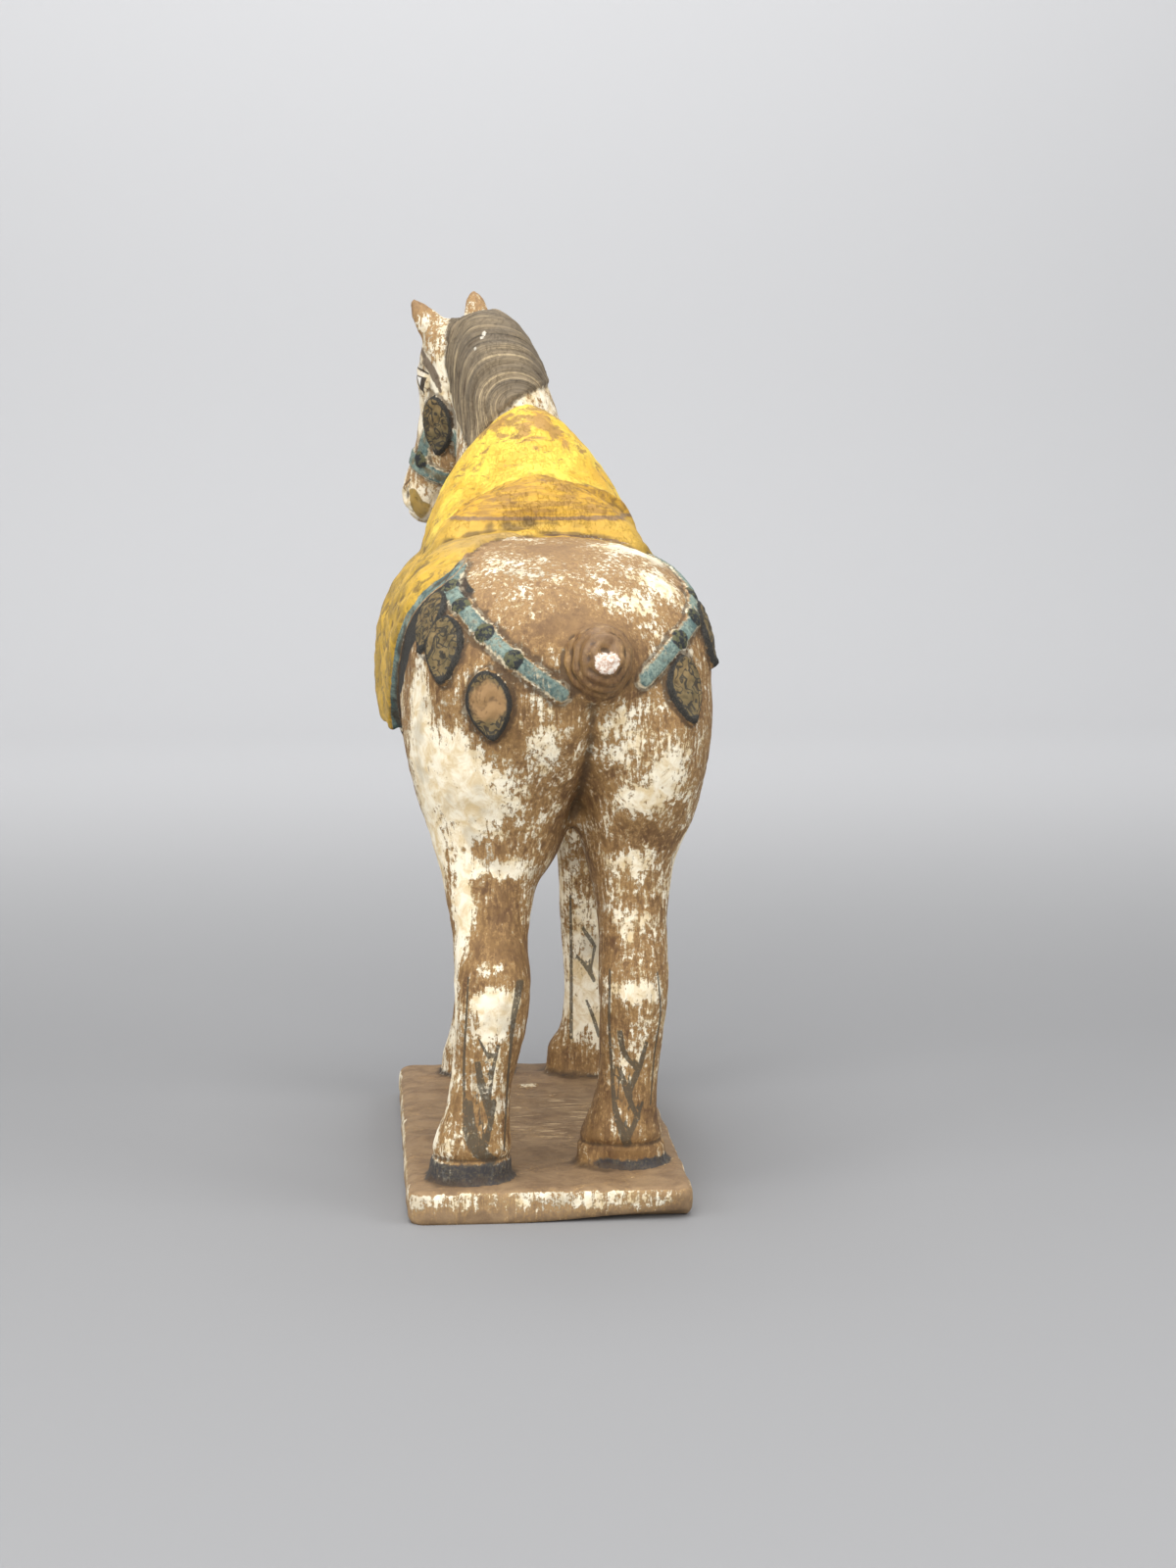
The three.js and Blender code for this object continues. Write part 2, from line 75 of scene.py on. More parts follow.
def spline(rows, steps=8):
    """Rows filled in between the given ones: the Catmull-Rom curve through them, with so many steps a gap."""
    rows = np.asarray(rows, float)
    last = len(rows) - 1
    t = np.linspace(0, last, last * steps + 1)
    gap = np.minimum(t.astype(int), last - 1)
    f = (t - gap)[:, None]
    a, b, c, d = (rows[np.clip(gap + k, 0, last)] for k in (-1, 0, 1, 2))
    slope_in, slope_out, rise = (c - a) / 2, (d - b) / 2, c - b
    square = 3 * rise - 2 * slope_in - slope_out
    cube = slope_in + slope_out - 2 * rise
    return b + f * (slope_in + f * (square + f * cube))


def unit(ways):
    """Ways made one long."""
    return ways / np.linalg.norm(ways, axis=-1, keepdims=True)


def oval(turn, half, near, far, square):
    """How far across and how far up a superellipse lies at each turn: the cosine and the sine of the turn,
    each raised to 2 over the squareness, times the half width and times the near or the far reach."""
    cosine, sine = np.cos(turn), np.sin(turn)
    wide = half * np.sign(cosine) * np.abs(cosine) ** (2 / square)
    high = np.where(sine > 0, near, far) * np.sign(sine) * np.abs(sine) ** (2 / square)
    return wide, high


def limb(rows, side=(1, 0, 0), around=72):
    """Rings of points over a row of sections. Each ring is an oval that stands square to the path through
    the middles, with its half width along the given side."""
    line = spline(rows)
    middle = line[:, :3]
    half, near, far, square = (line[:, k, None] for k in (3, 4, 5, 6))
    along = unit(np.gradient(middle, axis=0))
    near_way = unit(np.cross(along, side))
    across = np.cross(near_way, along)
    wide, high = oval(np.linspace(0, 2 * np.pi, around, endpoint=False), half, near, far, square)
    return middle[:, None] + across[:, None] * wide[..., None] + near_way[:, None] * high[..., None]


def lump(rings, capped=True):
    """The points and triangles of a tube through a grid of rings, with a fan over each capped end."""
    count, around = rings.shape[:2]
    points = np.concatenate([rings.reshape(-1, 3), rings[[0, -1]].mean(1)])
    k = np.arange(around)
    after = (k + 1) % around
    start = (np.arange(count - 1) * around)[:, None]
    a, b, c, d = start + k, start + after, start + after + around, start + k + around
    faces = [np.stack([a, b, c], -1).reshape(-1, 3), np.stack([a, c, d], -1).reshape(-1, 3)]
    if capped:
        first, last = np.full(around, count * around), np.full(around, count * around + 1)
        end = (count - 1) * around
        faces += [np.stack([first, after, k], -1), np.stack([last, end + k, end + after], -1)]
    return points, np.concatenate(faces)


trunk = lump(limb(trunk_rows))


# The hind legs
# Each leg is a roll of clay, thumbed to shape at the thigh, the hock and the hoof, and luted under the
# quarters. The near side is the leg's front.
hind_left_rows = [
    [14, 57, 224, 18, 24, 26, 2],
    [18.5, 60, 207, 27, 33, 36, 2],
    [20, 62, 190, 33.8, 40, 41.5, 2],
    [19.6, 64, 176, 33.6, 40, 42, 2],
    [18.7, 66, 163, 31.2, 35, 38, 2.1],
    [18, 68, 150, 29, 29, 32, 2.1],
    [19.2, 71, 138, 24.8, 23.5, 24.5, 2.1],
    [21, 75.5, 124, 18.2, 17.5, 18.5, 2.1],
    [21, 81, 105, 14.7, 15.5, 16, 2.1],
    [20.8, 88.5, 86, 14.8, 13.5, 17, 2.1],
    [22.3, 90.5, 68, 13.4, 12.5, 13.8, 2.1],
    [25, 91, 52, 11.9, 11.2, 11.8, 2.1],
    [26.8, 91.5, 38, 12.6, 11.8, 12.2, 2.1],
    [28.4, 91, 27, 15, 14.2, 14.3, 2.2],
    [29.2, 90, 20, 15, 16, 13.8, 2.2],
    [29.5, 88.5, 12, 16.5, 18.5, 15.5, 2.2],
    [29.5, 88.5, 7, 15, 17, 14, 2.2],
]
hind_right_rows = [
    [-33, 56, 224, 15, 24, 26, 2],
    [-37.2, 59, 207, 23.5, 33, 36, 2],
    [-38.7, 60, 190, 27, 40, 41.5, 2],
    [-38.3, 61, 176, 26.6, 39, 42, 2],
    [-37, 62, 163, 25, 34, 38.5, 2.1],
    [-34.9, 63, 150, 23.3, 28, 32, 2.1],
    [-33.8, 64, 138, 19.8, 23, 24.5, 2.1],
    [-33.8, 66, 124, 15.6, 17, 18.5, 2.1],
    [-34.3, 69, 105, 13.2, 15, 15.8, 2.1],
    [-34.2, 72.5, 86, 13.8, 13.5, 16.5, 2.1],
    [-33.6, 73, 68, 13, 12.5, 13.5, 2.1],
    [-32.5, 72.5, 52, 11.8, 11.2, 11.8, 2.1],
    [-31, 72.5, 38, 12.6, 11.8, 12.2, 2.1],
    [-30, 71.5, 27, 15, 14.2, 14.3, 2.2],
    [-31, 70, 20, 15, 16, 13.8, 2.2],
    [-31.6, 68.5, 12, 16, 18.5, 15.5, 2.2],
    [-31.6, 68.5, 7, 15, 17, 14, 2.2],
]
hind_legs = [lump(limb(hind_left_rows)), lump(limb(hind_right_rows))]


# The forelegs
# They are two rolls of clay from one pair of moulds, set straight under the chest. A row gives the spread
# from the middle between them in place of x.
fore_middle = -5
fore_rows = np.array([
    [20, -72, 214, 12, 14, 16, 2],
    [22.5, -76, 196, 18, 25, 26, 2],
    [24, -79, 171, 20, 28.5, 28, 2.1],
    [24, -82, 147, 17.8, 22, 23, 2.1],
    [23.8, -86, 124, 15, 16, 17.5, 2.1],
    [24, -88, 103, 13, 13.5, 14.5, 2.1],
    [24, -89, 86, 12.8, 14, 13, 2.1],
    [24, -88.5, 72, 11.6, 11.5, 12, 2.1],
    [24, -88, 53, 10.8, 10.5, 11, 2.1],
    [24, -89, 39, 11.6, 11.5, 12, 2.1],
    [24.3, -91, 28, 13.8, 13.5, 13, 2.1],
    [24.5, -93, 20, 13.6, 14, 12, 2.2],
    [25, -95, 12, 15, 14.5, 12.5, 2.2],
    [25, -95, 7, 14, 13.5, 11.5, 2.2],
])


def fore_leg(side):
    """The foreleg on one side, 1 for the left and -1 for the right: its x is the middle plus the spread."""
    rows = fore_rows.copy()
    rows[:, 0] = fore_middle + side * rows[:, 0]
    return lump(limb(rows))


fore_legs = [fore_leg(1), fore_leg(-1)]


# The neck, head, ears and forelock
# The neck and head are moulded as one and turned to the horse's left. The near side of the neck is its
# crest, and the near side of the head is its brow.
head_turn = math.radians(38)
head_left = np.array([math.cos(head_turn), math.sin(head_turn), 0])
head_front = np.array([math.sin(head_turn), -math.cos(head_turn), 0])
neck_rows = [
    [1, -62, 188, 34, 28, 54, 2],
    [1, -67, 212, 38, 36, 50, 2],
    [1, -76, 237, 34.5, 37.5, 42, 2],
    [1.8, -84, 263, 28.5, 34, 36, 2],
    [4, -89, 286, 24, 31, 29.5, 2],
    [7, -92, 305, 21, 29, 24, 2],
    [11, -96, 321, 18.6, 25, 20, 2],
    [15.5, -101, 332, 15.5, 17.5, 16, 2],
    [19.5, -105, 338.5, 11, 9.5, 10, 2],
    [21, -107, 341.5, 3, 3, 3, 2],
]
head_rows = [
    [21, -104, 341, 3, 2, 3, 2],
    [24.5, -107.5, 337, 12.4, 8, 12, 2],
    [28, -112, 329, 14.8, 12.5, 19, 2.1],
    [27.9, -116.5, 317, 15.6, 15, 23, 2.2],
    [27.7, -121, 304, 15, 13.5, 24, 2.3],
    [31.4, -126, 291, 13.4, 11.5, 21.5, 2.3],
    [35.6, -131, 278.5, 11.2, 10, 14.5, 2.3],
    [39.4, -135, 268, 11.2, 10.5, 11, 2.3],
    [38.4, -137, 260, 10.2, 8.5, 10.5, 2.2],
    [36.6, -136.5, 254, 6.4, 4.5, 7.4, 2],
    [36.4, -136, 252.3, 2, 1.5, 2, 2],
]
left_ear_rows = [
    [31, -106, 329, 6.4, 5, 5, 2],
    [35.3, -107, 336, 7.2, 4.4, 4.4, 2],
    [40, -108, 342.5, 6, 3.6, 3.6, 2],
    [44.3, -109, 348.5, 3.5, 2.4, 2.4, 2],
    [46.6, -109.5, 352.6, 1.1, 1, 1, 2],
]
right_ear_rows = [
    [16.5, -117, 336, 6, 4.5, 4.5, 2],
    [17, -118.5, 343, 6.2, 4.2, 4.2, 2],
    [17.8, -120.5, 349.5, 5, 3.4, 3.4, 2],
    [18.3, -122.5, 354, 3, 2.4, 2.4, 2],
    [18.5, -123, 356, 1.1, 1, 1, 2],
]
forelock_rows = [
    [22, -106, 341, 4, 2, 3, 2],
    [27, -115, 340, 5.6, 2.6, 3, 2],
    [30.6, -121.4, 332.5, 5.4, 2.4, 3, 2],
    [34, -126, 321, 3, 1.6, 2, 2],
    [35, -127.5, 316, 0.8, 0.8, 0.8, 2],
]
neck_and_head = [
    lump(limb(neck_rows)),
    lump(limb(head_rows, head_left)),
    lump(limb(left_ear_rows)),
    lump(limb(right_ear_rows)),
    lump(limb(forelock_rows, head_left)),
]


# The tied tail
# The real tail is bound up into a knob of coiled hair. It is a lump of clay, set low on the croup and
# pointing straight back, and its end has broken off.
tail_rows = [
    [-20, 123.5, 214.6, 1, 1, 1, 2],
    [-20, 122.8, 214.5, 4, 4.2, 4.6, 2],
    [-19.4, 119.5, 214, 8.2, 9.2, 10.2, 2],
    [-18.6, 114.5, 213, 11, 12.2, 13.6, 2],
    [-18, 109, 212, 12, 13.4, 15.4, 2],
    [-17.6, 103, 211, 12.4, 13.8, 16, 2],
    [-17, 94, 210, 10, 10, 12, 2],
]
tail = lump(limb(tail_rows))


# The hooves' clay
# Each foot is pressed into a collar of wet clay that holds it to the slab. A row gives a height and the
# clay's half width, reach to the front and reach to the back there.
mound_rows = np.array([
    [31, 4, 4, 4],
    [28, 12.5, 12, 12],
    [21, 15.2, 15, 14.3],
    [15, 15.6, 15.4, 14.8],
    [8, 15.8, 15.4, 15],
])
hooves = [
    (29.5, 89, 1),
    (-31.6, 69, 1),
    (fore_middle + 25, -94, 1),
    (fore_middle - 25, -94, 1.1),
]


def mound(x, y, size):
    """The collar of clay about one hoof: the rows scaled to its size and set at its middle."""
    height, reaches = mound_rows[:, :1], mound_rows[:, 1:] * size
    here = np.ones_like(height)
    return lump(limb(np.hstack([x * here, y * here, height, reaches, 2.4 * here])))


# Spare clay is smeared up the inner sides of the two right feet.
spare_clay = [
    (-25, 70, 0.82),
    (fore_middle - 18.5, -93, 0.82),
]
mounds = [mound(*foot) for foot in hooves + spare_clay]


# The body luted together
# The parts are joined while the clay is soft, the cleft between the buttocks is pressed in with a stick,
# and the joints are smeared over with a wet thumb.
def mesh_of(name, points, faces):
    """A mesh from points in millimetres and triangles."""
    mesh = bpy.data.meshes.new(name)
    mesh.vertices.add(len(points))
    mesh.vertices.foreach_set("co", (points / 1000).astype(np.float32).ravel())
    mesh.loops.add(faces.size)
    mesh.loops.foreach_set("vertex_index", faces.astype(np.int32).ravel())
    mesh.polygons.add(len(faces))
    mesh.polygons.foreach_set("loop_start", np.arange(len(faces), dtype=np.int32) * 3)
    mesh.update(calc_edges=True)
    return mesh


def worked(name, points, faces, kind, **settings):
    """The points and triangles that one modifier, with its settings, makes of a skin."""
    piece = bpy.data.objects.new(name, mesh_of(name, points, faces))
    bpy.context.scene.collection.objects.link(piece)
    modifier = piece.modifiers.new(kind, kind)
    for setting, value in settings.items():
        setattr(modifier, setting, value)
    made = piece.evaluated_get(bpy.context.evaluated_depsgraph_get()).to_mesh()
    made.calc_loop_triangles()
    points = np.empty(len(made.vertices) * 3, np.float32)
    faces = np.empty(len(made.loop_triangles) * 3, np.int32)
    made.vertices.foreach_get("co", points)
    made.loop_triangles.foreach_get("vertices", faces)
    bpy.data.objects.remove(piece)
    return points.reshape(-1, 3).astype(float) * 1000, faces.reshape(-1, 3)


def luted(lumps, cell):
    """One closed skin around several overlapping lumps, of even cells of the given size."""
    starts = np.cumsum([0] + [len(points) for points, _ in lumps[:-1]])
    points = np.concatenate([points for points, _ in lumps])
    faces = np.concatenate([faces + start for (_, faces), start in zip(lumps, starts)])
    return worked("clay", points, faces, "REMESH", mode="VOXEL", voxel_size=cell / 1000)


def softened(points, faces, rounds, share):
    """Every point moved a share of the way to the mean of its neighbours, so many times over."""
    one, other = faces.ravel(), np.roll(faces, -1, 1).ravel()
    here, there = np.concatenate([one, other]), np.concatenate([other, one])
    count = np.bincount(here, minlength=len(points))
    for _ in range(rounds):
        sums = [np.bincount(here, points[there, k], len(points)) for k in range(3)]
        points = points + share * (np.stack(sums, 1) / count[:, None] - points)
    return points


def ease(value, low, high):
    """A smooth step from 0 at low to 1 at high: 3 t squared less 2 t cubed."""
    t = np.clip((value - low) / (high - low), 0, 1)
    return t * t * (3 - 2 * t)


# The cleft, from the fork up to under the tail: height, x, depth and half width.
cleft_rows = np.array([
    [136, -9.5, 16, 4],
    [150, -11, 14, 3.4],
    [164, -13, 10, 3],
    [178, -14.5, 7, 2.6],
    [190, -15.5, 4, 2.2],
    [200, -16, 0, 2],
])
body_cell = 1.5
bare, bare_faces = luted([trunk, *hind_legs, *fore_legs, *neck_and_head, tail, *mounds], body_cell)
x, y, z = bare.T
on_barrel = ease(z, 120, 150) * (1 - ease(z, 235, 262)) * (1 - ease(y, 106, 110))
below_ears = 1 - ease(z, 333, 342)
bare = softened(bare, bare_faces, 40, 0.5 * on_barrel[:, None])
bare = softened(bare, bare_faces, 8, 0.5 * below_ears[:, None])
x, y, z = bare.T
cleft_x, cleft_deep, cleft_half = (np.interp(z, cleft_rows[:, 0], cleft_rows[:, k]) for k in (1, 2, 3))
steep_side, slack_side = 0.8, 1.7
leant = np.where(x > cleft_x, steep_side, slack_side)
pressed = cleft_deep * np.exp(-np.abs((x - cleft_x) / leant / cleft_half) ** 1.5)
bare[:, 1] -= pressed * ease(y, 70, 84) * ease(z, 130, 140)
bare = softened(bare, bare_faces, 2, 0.4)


# The blanket
# A felt blanket lies over the back under the saddle. It is a layer of clay laid on the trunk, with a thick
# cut rim. Its front and right rear edges are given as y at a height z. The left rear edge reaches farther
# back and is given as y at a turn, in degrees from the left side up over the back.
blanket_side = 5.5
blanket_top = 2.5
blanket_sunk = 3
blanket_hem = 174.5
blanket_front = np.array([
    [173, -36],
    [174, -38],
    [177, -47],
    [186, -52],
    [205, -54],
    [280, -54],
])
blanket_rear_left = np.array([
    [-20, 6],
    [-17.5, 9],
    [-12, 12],
    [-5.5, 27],
    [-0.5, 43],
    [2.5, 50],
    [10, 56],
    [18.5, 61],
    [28.5, 65],
    [36, 67],
    [45, 69],
    [53, 68],
    [60, 63],
    [66, 55],
    [71, 46],
    [77, 35],
    [84, 26],
    [90, 22],
])
blanket_rear_right = np.array([
    [173, 6],
    [175, 12],
    [179, 17],
    [187, 22.5],
    [198, 28],
    [210, 26],
    [222, 18],
    [236, 12],
    [246, 14],
    [254, 20],
    [280, 22],
])


def section_at(rows, y):
    """The middle x and z, half width, reaches and squareness of a limb that runs along y, at each y."""
    line = spline(rows)
    return [np.interp(-y, -line[:, 1], line[:, k]) for k in (0, 2, 3, 4, 5, 6)]


def edge_at(edge, along):
    """Where an edge lies at each place along it: its second column read off by its first."""
    return np.interp(along, edge[:, 0], edge[:, 1])


def felt_side(y):
    """How far the blanket stands off the flanks at each y: less towards its hind corners."""
    return blanket_side - 2.2 * ease(y, 15, 50)


def on_trunk(y, turn, side, top):
    """Points of the trunk's superellipse sections at each y and turn, stood off by side and by top."""
    x, z, half, near, far, square = section_at(trunk_rows, y)
    wide, high = oval(turn, half + side, near + top, far + side, square)
    return np.stack([x + wide, y, z + high], -1)


def blanket():
    """The layer between two sheets, the outer one stood off the trunk and the inner one sunk in it. The
    turn runs from the left hem over the back to the right hem, and y from the rear edge to the front."""
    turn = np.linspace(np.radians(-17), np.radians(197), 150)
    z = on_trunk(np.zeros_like(turn), turn, blanket_side, blanket_top)[:, 2]
    rear_left = edge_at(blanket_rear_left, np.degrees(turn))
    rear = np.where(turn < np.pi / 2, rear_left, edge_at(blanket_rear_right, z))
    share = np.linspace(0, 1, 90)[:, None]
    y = rear + (edge_at(blanket_front, z) - rear) * share
    outer = on_trunk(y, turn + 0 * y, felt_side(y), blanket_top)
    inner = on_trunk(y, turn + 0 * y, -blanket_sunk, -blanket_sunk)
    rings = np.concatenate([outer, inner[:, ::-1]], 1)
    shut = np.concatenate([inner, inner[:, ::-1]], 1)
    return lump(np.concatenate([shut[:1], rings, shut[-1:]]), capped=False)


# The saddle
# The saddle is a lump of clay pressed onto the back before the cloth is smoothed over it: a low cantle
# behind, the seat, and a high pommel run up against the neck.
saddle_rows = [
    [-1.5, 25, 246, 30, 6, 6, 2.2],
    [-1.5, 21, 245, 41, 14, 10, 1.8],
    [-1.5, 16.5, 245, 43.5, 26.5, 12, 1.6],
    [-1.5, 11, 245, 44.5, 32.2, 12, 1.55],
    [-1.5, 5, 245, 44.5, 31, 12, 1.55],
    [-1.3, -4, 245, 44.5, 33, 12, 1.55],
    [-1.2, -14, 245, 45, 41, 12, 1.5],
    [-1, -24, 245, 45, 51.5, 12, 1.5],
    [-0.6, -33, 245, 45, 59, 12, 1.5],
    [0, -41, 245, 44, 61, 12, 1.5],
    [0.5, -48, 245, 41, 58, 12, 1.55],
    [1, -55, 245, 36, 46, 10, 1.6],
    [1, -61, 245, 24, 24, 8, 1.8],
]
saddle = lump(limb(saddle_rows))


# The slab
# The figure stands on a tile of rolled clay, cut by hand to an oblong. Its corners are rounded and its
# edges softened with a wet finger.
slab_wide = 108
slab_long = 222
slab_thick = 13
slab_corner = 7
slab_stack = [
    [slab_thick, 2.2],
    [12.2, 0.6],
    [10.6, 0],
    [1.6, 0],
    [0.5, 0.4],
    [0, 1.2],
]


def slab():
    """A stack of rounded oblongs, each of a height and an inset: a quarter circle less the inset about
    each corner's middle."""
    around = 96
    turn = np.linspace(0, 2 * np.pi, around, endpoint=False)
    corner = np.stack([np.sign(np.cos(turn + 1e-9)), np.sign(np.sin(turn + 1e-9))], -1)
    middles = corner * [slab_wide / 2 - slab_corner, slab_long / 2 - slab_corner]
    arcs = np.stack([np.cos(turn), np.sin(turn)], -1)
    rings = [
        np.column_stack([middles + (slab_corner - inset) * arcs, np.full(around, height)])
        for height, inset in slab_stack
    ]
    return lump(np.stack(rings))


# The figure in one piece
# Saddle, blanket and slab are luted to the body with slip, and the whole is smoothed lightly with a wet
# brush. It is left to dry and is fired as one.
fine_cell = 1.2
skin, faces = luted([(bare, bare_faces), blanket(), saddle, slab()], fine_cell)
skin = softened(skin, faces, 4, 0.5)


def outward(points, faces):
    """The outward way at each point: the mean of the faces around it, weighed by their areas."""
    a, b, c = (points[faces[:, k]] for k in range(3))
    face_ways = np.repeat(np.cross(b - a, c - a), 3, axis=0)
    corners = faces.ravel()
    sums = [np.bincount(corners, face_ways[:, k], len(points)) for k in range(3)]
    return unit(np.stack(sums, 1))


def waves(points, size, seed):
    """Uneven rises and falls between about -1 and 1: a sum of sines whose ways and lengths are random,
    the lengths lying about the given size."""
    random = np.random.default_rng(seed)
    ways = unit(random.normal(size=(20, 3))) * random.uniform(0.6, 1.5, (20, 1)) * 2 * np.pi / size
    return np.sin(points @ ways.T + random.uniform(0, 2 * np.pi, 20)).sum(1) / 5


# The breeching and breast strap
# Leather straps modelled as flat rolls of clay, from under the blanket round the rump to the tail, and
# round the chest. Their stops are bearings from a middle point inside the body: the turn from the left
# side towards the tail, and the rise, in degrees.
strap_wide = 6.8
strap_proud = 1.6
rump_middle = np.array([-5, 45, 205])
chest_middle = np.array([0, -60, 205])
left_studs = [(40, 31), (52, 23), (64, 14), (74, 6)]
right_studs = [(135, 11), (147, 18), (160, 26)]
left_stops = [(-13, 47), (28, 43), *left_studs, (89, -5)]
right_stops = [(118, -1), *right_studs, (180, 34), (205, 41)]
chest_stops = [(8, 8), (-20, 2), (-50, -6), (-90, -10), (-130, -6), (-160, 2), (-188, 8)]


def bearing(stops):
    """Ways from turns and rises: the cosine and sine of the turn, shortened by the rise."""
    turn, rise = np.radians(np.asarray(stops, float)).T
    return np.stack([np.cos(rise) * np.cos(turn), np.cos(rise) * np.sin(turn), np.sin(rise)], -1)


def found(points, middle, stops):
    """The places on a skin in some bearings from a middle point: the mean of the skin's points, weighed
    by how nearly each lies in the bearing."""
    spokes = unit(points - middle)
    spread = 0.0006
    weight = np.exp((bearing(stops) @ spokes.T - 1) / spread)
    return weight @ points / weight.sum(1, keepdims=True)


def laid(points, middle, stops):
    """A strap's middle line on a skin, through its stops."""
    return found(points, middle, spline(stops, 6))


def beside(points, path):
    """How points lie to a path of short stretches: their distance, their offset to its left as seen from
    outside the body, and how far along it they are."""
    distance, offset, along = np.full(len(points), 99.0), np.full(len(points), 99.0), np.zeros(len(points))
    walked = 0
    for start, end in zip(path[:-1], path[1:]):
        stretch = end - start
        length = np.linalg.norm(stretch)
        share = np.clip((points - start) @ stretch / length**2, 0, 1)
        apart = points - start - share[:, None] * stretch
        away = np.linalg.norm(apart, axis=1)
        closer = away < distance
        left = np.cross(stretch / length, unit(start))
        distance = np.where(closer, away, distance)
        offset = np.where(closer, apart @ left, offset)
        along = np.where(closer, walked + share * length, along)
        walked += length
    return distance, offset, along


straps = [
    laid(bare, rump_middle, left_stops),
    laid(bare, rump_middle, right_stops),
    laid(bare, chest_middle, chest_stops),
]


# The bridle
# The real one is a noseband, a strap up each cheek to a leaf, and a strap under the jaw. They are modelled
# in thinner rolls of clay, pressed on with a fingertip.
bridle_wide = 7.4
bridle_proud = 1.2
head_middle = np.array([29, -120, 300])
cheek_stops = [(1, -55), (20, -42), (50, -20), (65, -12)]
jaw_stops = [(65, -12), (95, -24), (128, -34), (161, -24), (191, -12)]
noseband_rows = spline(head_rows)[44:51]


def other_side(stops):
    """The same bearings on the other side of the turned head."""
    return [(2 * math.degrees(head_turn) + 180 - turn, rise) for turn, rise in stops]


head_part = (bare[:, 2] > 250) & (bare[:, 1] < -98)
on_head = bare[head_part]
bridles = [
    laid(on_head, head_middle, cheek_stops),
    laid(on_head, head_middle, other_side(cheek_stops)),
    laid(on_head, head_middle, jaw_stops),
]


# The studs and leaves
# Round studs are pressed onto the straps, and leaf-shaped pendants hang below them, each pressed from a
# small mould with a beaded rim and scrolls.
stud_radius = 4.4
stud_proud = 2.3
leaf_long = 27
leaf_wide = 18
leaf_proud = 2.2
studs = np.concatenate([
    found(bare, rump_middle, left_studs + right_studs),
    found(on_head, head_middle, cheek_stops[:1] + other_side(cheek_stops[:1])),
])


def hung(points, ways, middle, stop, lean):
    """A leaf's middle on a skin, the way it hangs, the way across it and its outward way. It hangs
    straight down along the skin, turned by a lean in degrees."""
    spread = 0.002
    weight = np.exp((unit(points - middle) @ bearing([stop])[0] - 1) / spread)
    place = weight @ points / weight.sum()
    out = unit(weight @ ways)
    down = unit(np.array([0, 0, -1]) + out[2] * out)
    lean = math.radians(lean)
    down = math.cos(lean) * down + math.sin(lean) * np.cross(out, down)
    return place, down, np.cross(out, down), out


bare_ways = outward(bare, bare_faces)
leaves = [
    hung(bare, bare_ways, rump_middle, (39, 17), 14),
    hung(bare, bare_ways, rump_middle, (50, 8), 10),
    hung(bare, bare_ways, rump_middle, (67, -8), 6),
    hung(bare, bare_ways, rump_middle, (134, -5), 0),
    hung(bare, bare_ways, rump_middle, (157, 12), -14),
    hung(bare, bare_ways, chest_middle, (-56, -22), 8),
    hung(bare, bare_ways, chest_middle, (-90, -26), 0),
    hung(bare, bare_ways, chest_middle, (-124, -22), -8),
    hung(on_head, bare_ways[head_part], head_middle, (65, -13), -8),
    hung(on_head, bare_ways[head_part], head_middle, other_side([(65, -13)])[0], 8),
]


def leaf_sides(points):
    """How far points lie inside the nearest leaf's outline, and their places down and across that leaf.
    The outline's half width is the sine of a little more than half a turn over its length, to the 0.7."""
    inside = np.full(len(points), -9.0)
    down_leaf, across_leaf = np.zeros((2, len(points)))
    for place, down, across, out in leaves:
        u = (points - place) @ down + leaf_long / 2
        v = (points - place) @ across
        share = np.clip(u / leaf_long, 0.001, 0.999)
        half = leaf_wide / 2 * np.sin(np.pi * share**0.85) ** 0.7
        depth = np.minimum(half - np.abs(v), np.minimum(u + 0.5, leaf_long + 0.5 - u))
        depth = np.where(np.abs((points - place) @ out) < 9, depth, -9)
        nearer = depth > inside
        inside = np.where(nearer, depth, inside)
        down_leaf = np.where(nearer, u, down_leaf)
        across_leaf = np.where(nearer, v, across_leaf)
    return inside, down_leaf, across_leaf


def stud_sides(points):
    """How far points lie inside the nearest stud's round."""
    away = np.stack([np.linalg.norm(points - stud, axis=1) for stud in studs])
    return stud_radius - away.min(0)


def stood_off(points, rows):
    """How far points stand off a limb that runs along y: what an oval's radius exceeds 1 by, as a length.
    With it goes the share of their way that is upward."""
    x, y, z = points.T
    mid_x, mid_z, half, near, far, square = section_at(rows, y)
    across, up = np.abs(x - mid_x) / half, np.abs(z - mid_z) / np.where(z > mid_z, near, far)
    size = (across**square + up**square) ** (1 / square)
    off = (size - 1) / size * np.hypot(x - mid_x, z - mid_z)
    return off, np.where(z > mid_z, up**2 / (across**2 + up**2), 0)


def turn_on_trunk(points):
    """The turn, in degrees, of the blanket's outer sheet at points on the trunk's left side: an oval's
    turn is that of its two shares, each raised to half the squareness."""
    x, y, z = points.T
    mid_x, mid_z, half, near, far, square = section_at(trunk_rows, y)
    side = felt_side(y)
    across = ((x - mid_x) / (half + side)).clip(0, None) ** (square / 2)
    up = (z - mid_z) / np.where(z > mid_z, near + blanket_top, far + side)
    return np.degrees(np.arctan2(np.sign(up) * np.abs(up) ** (square / 2), across))


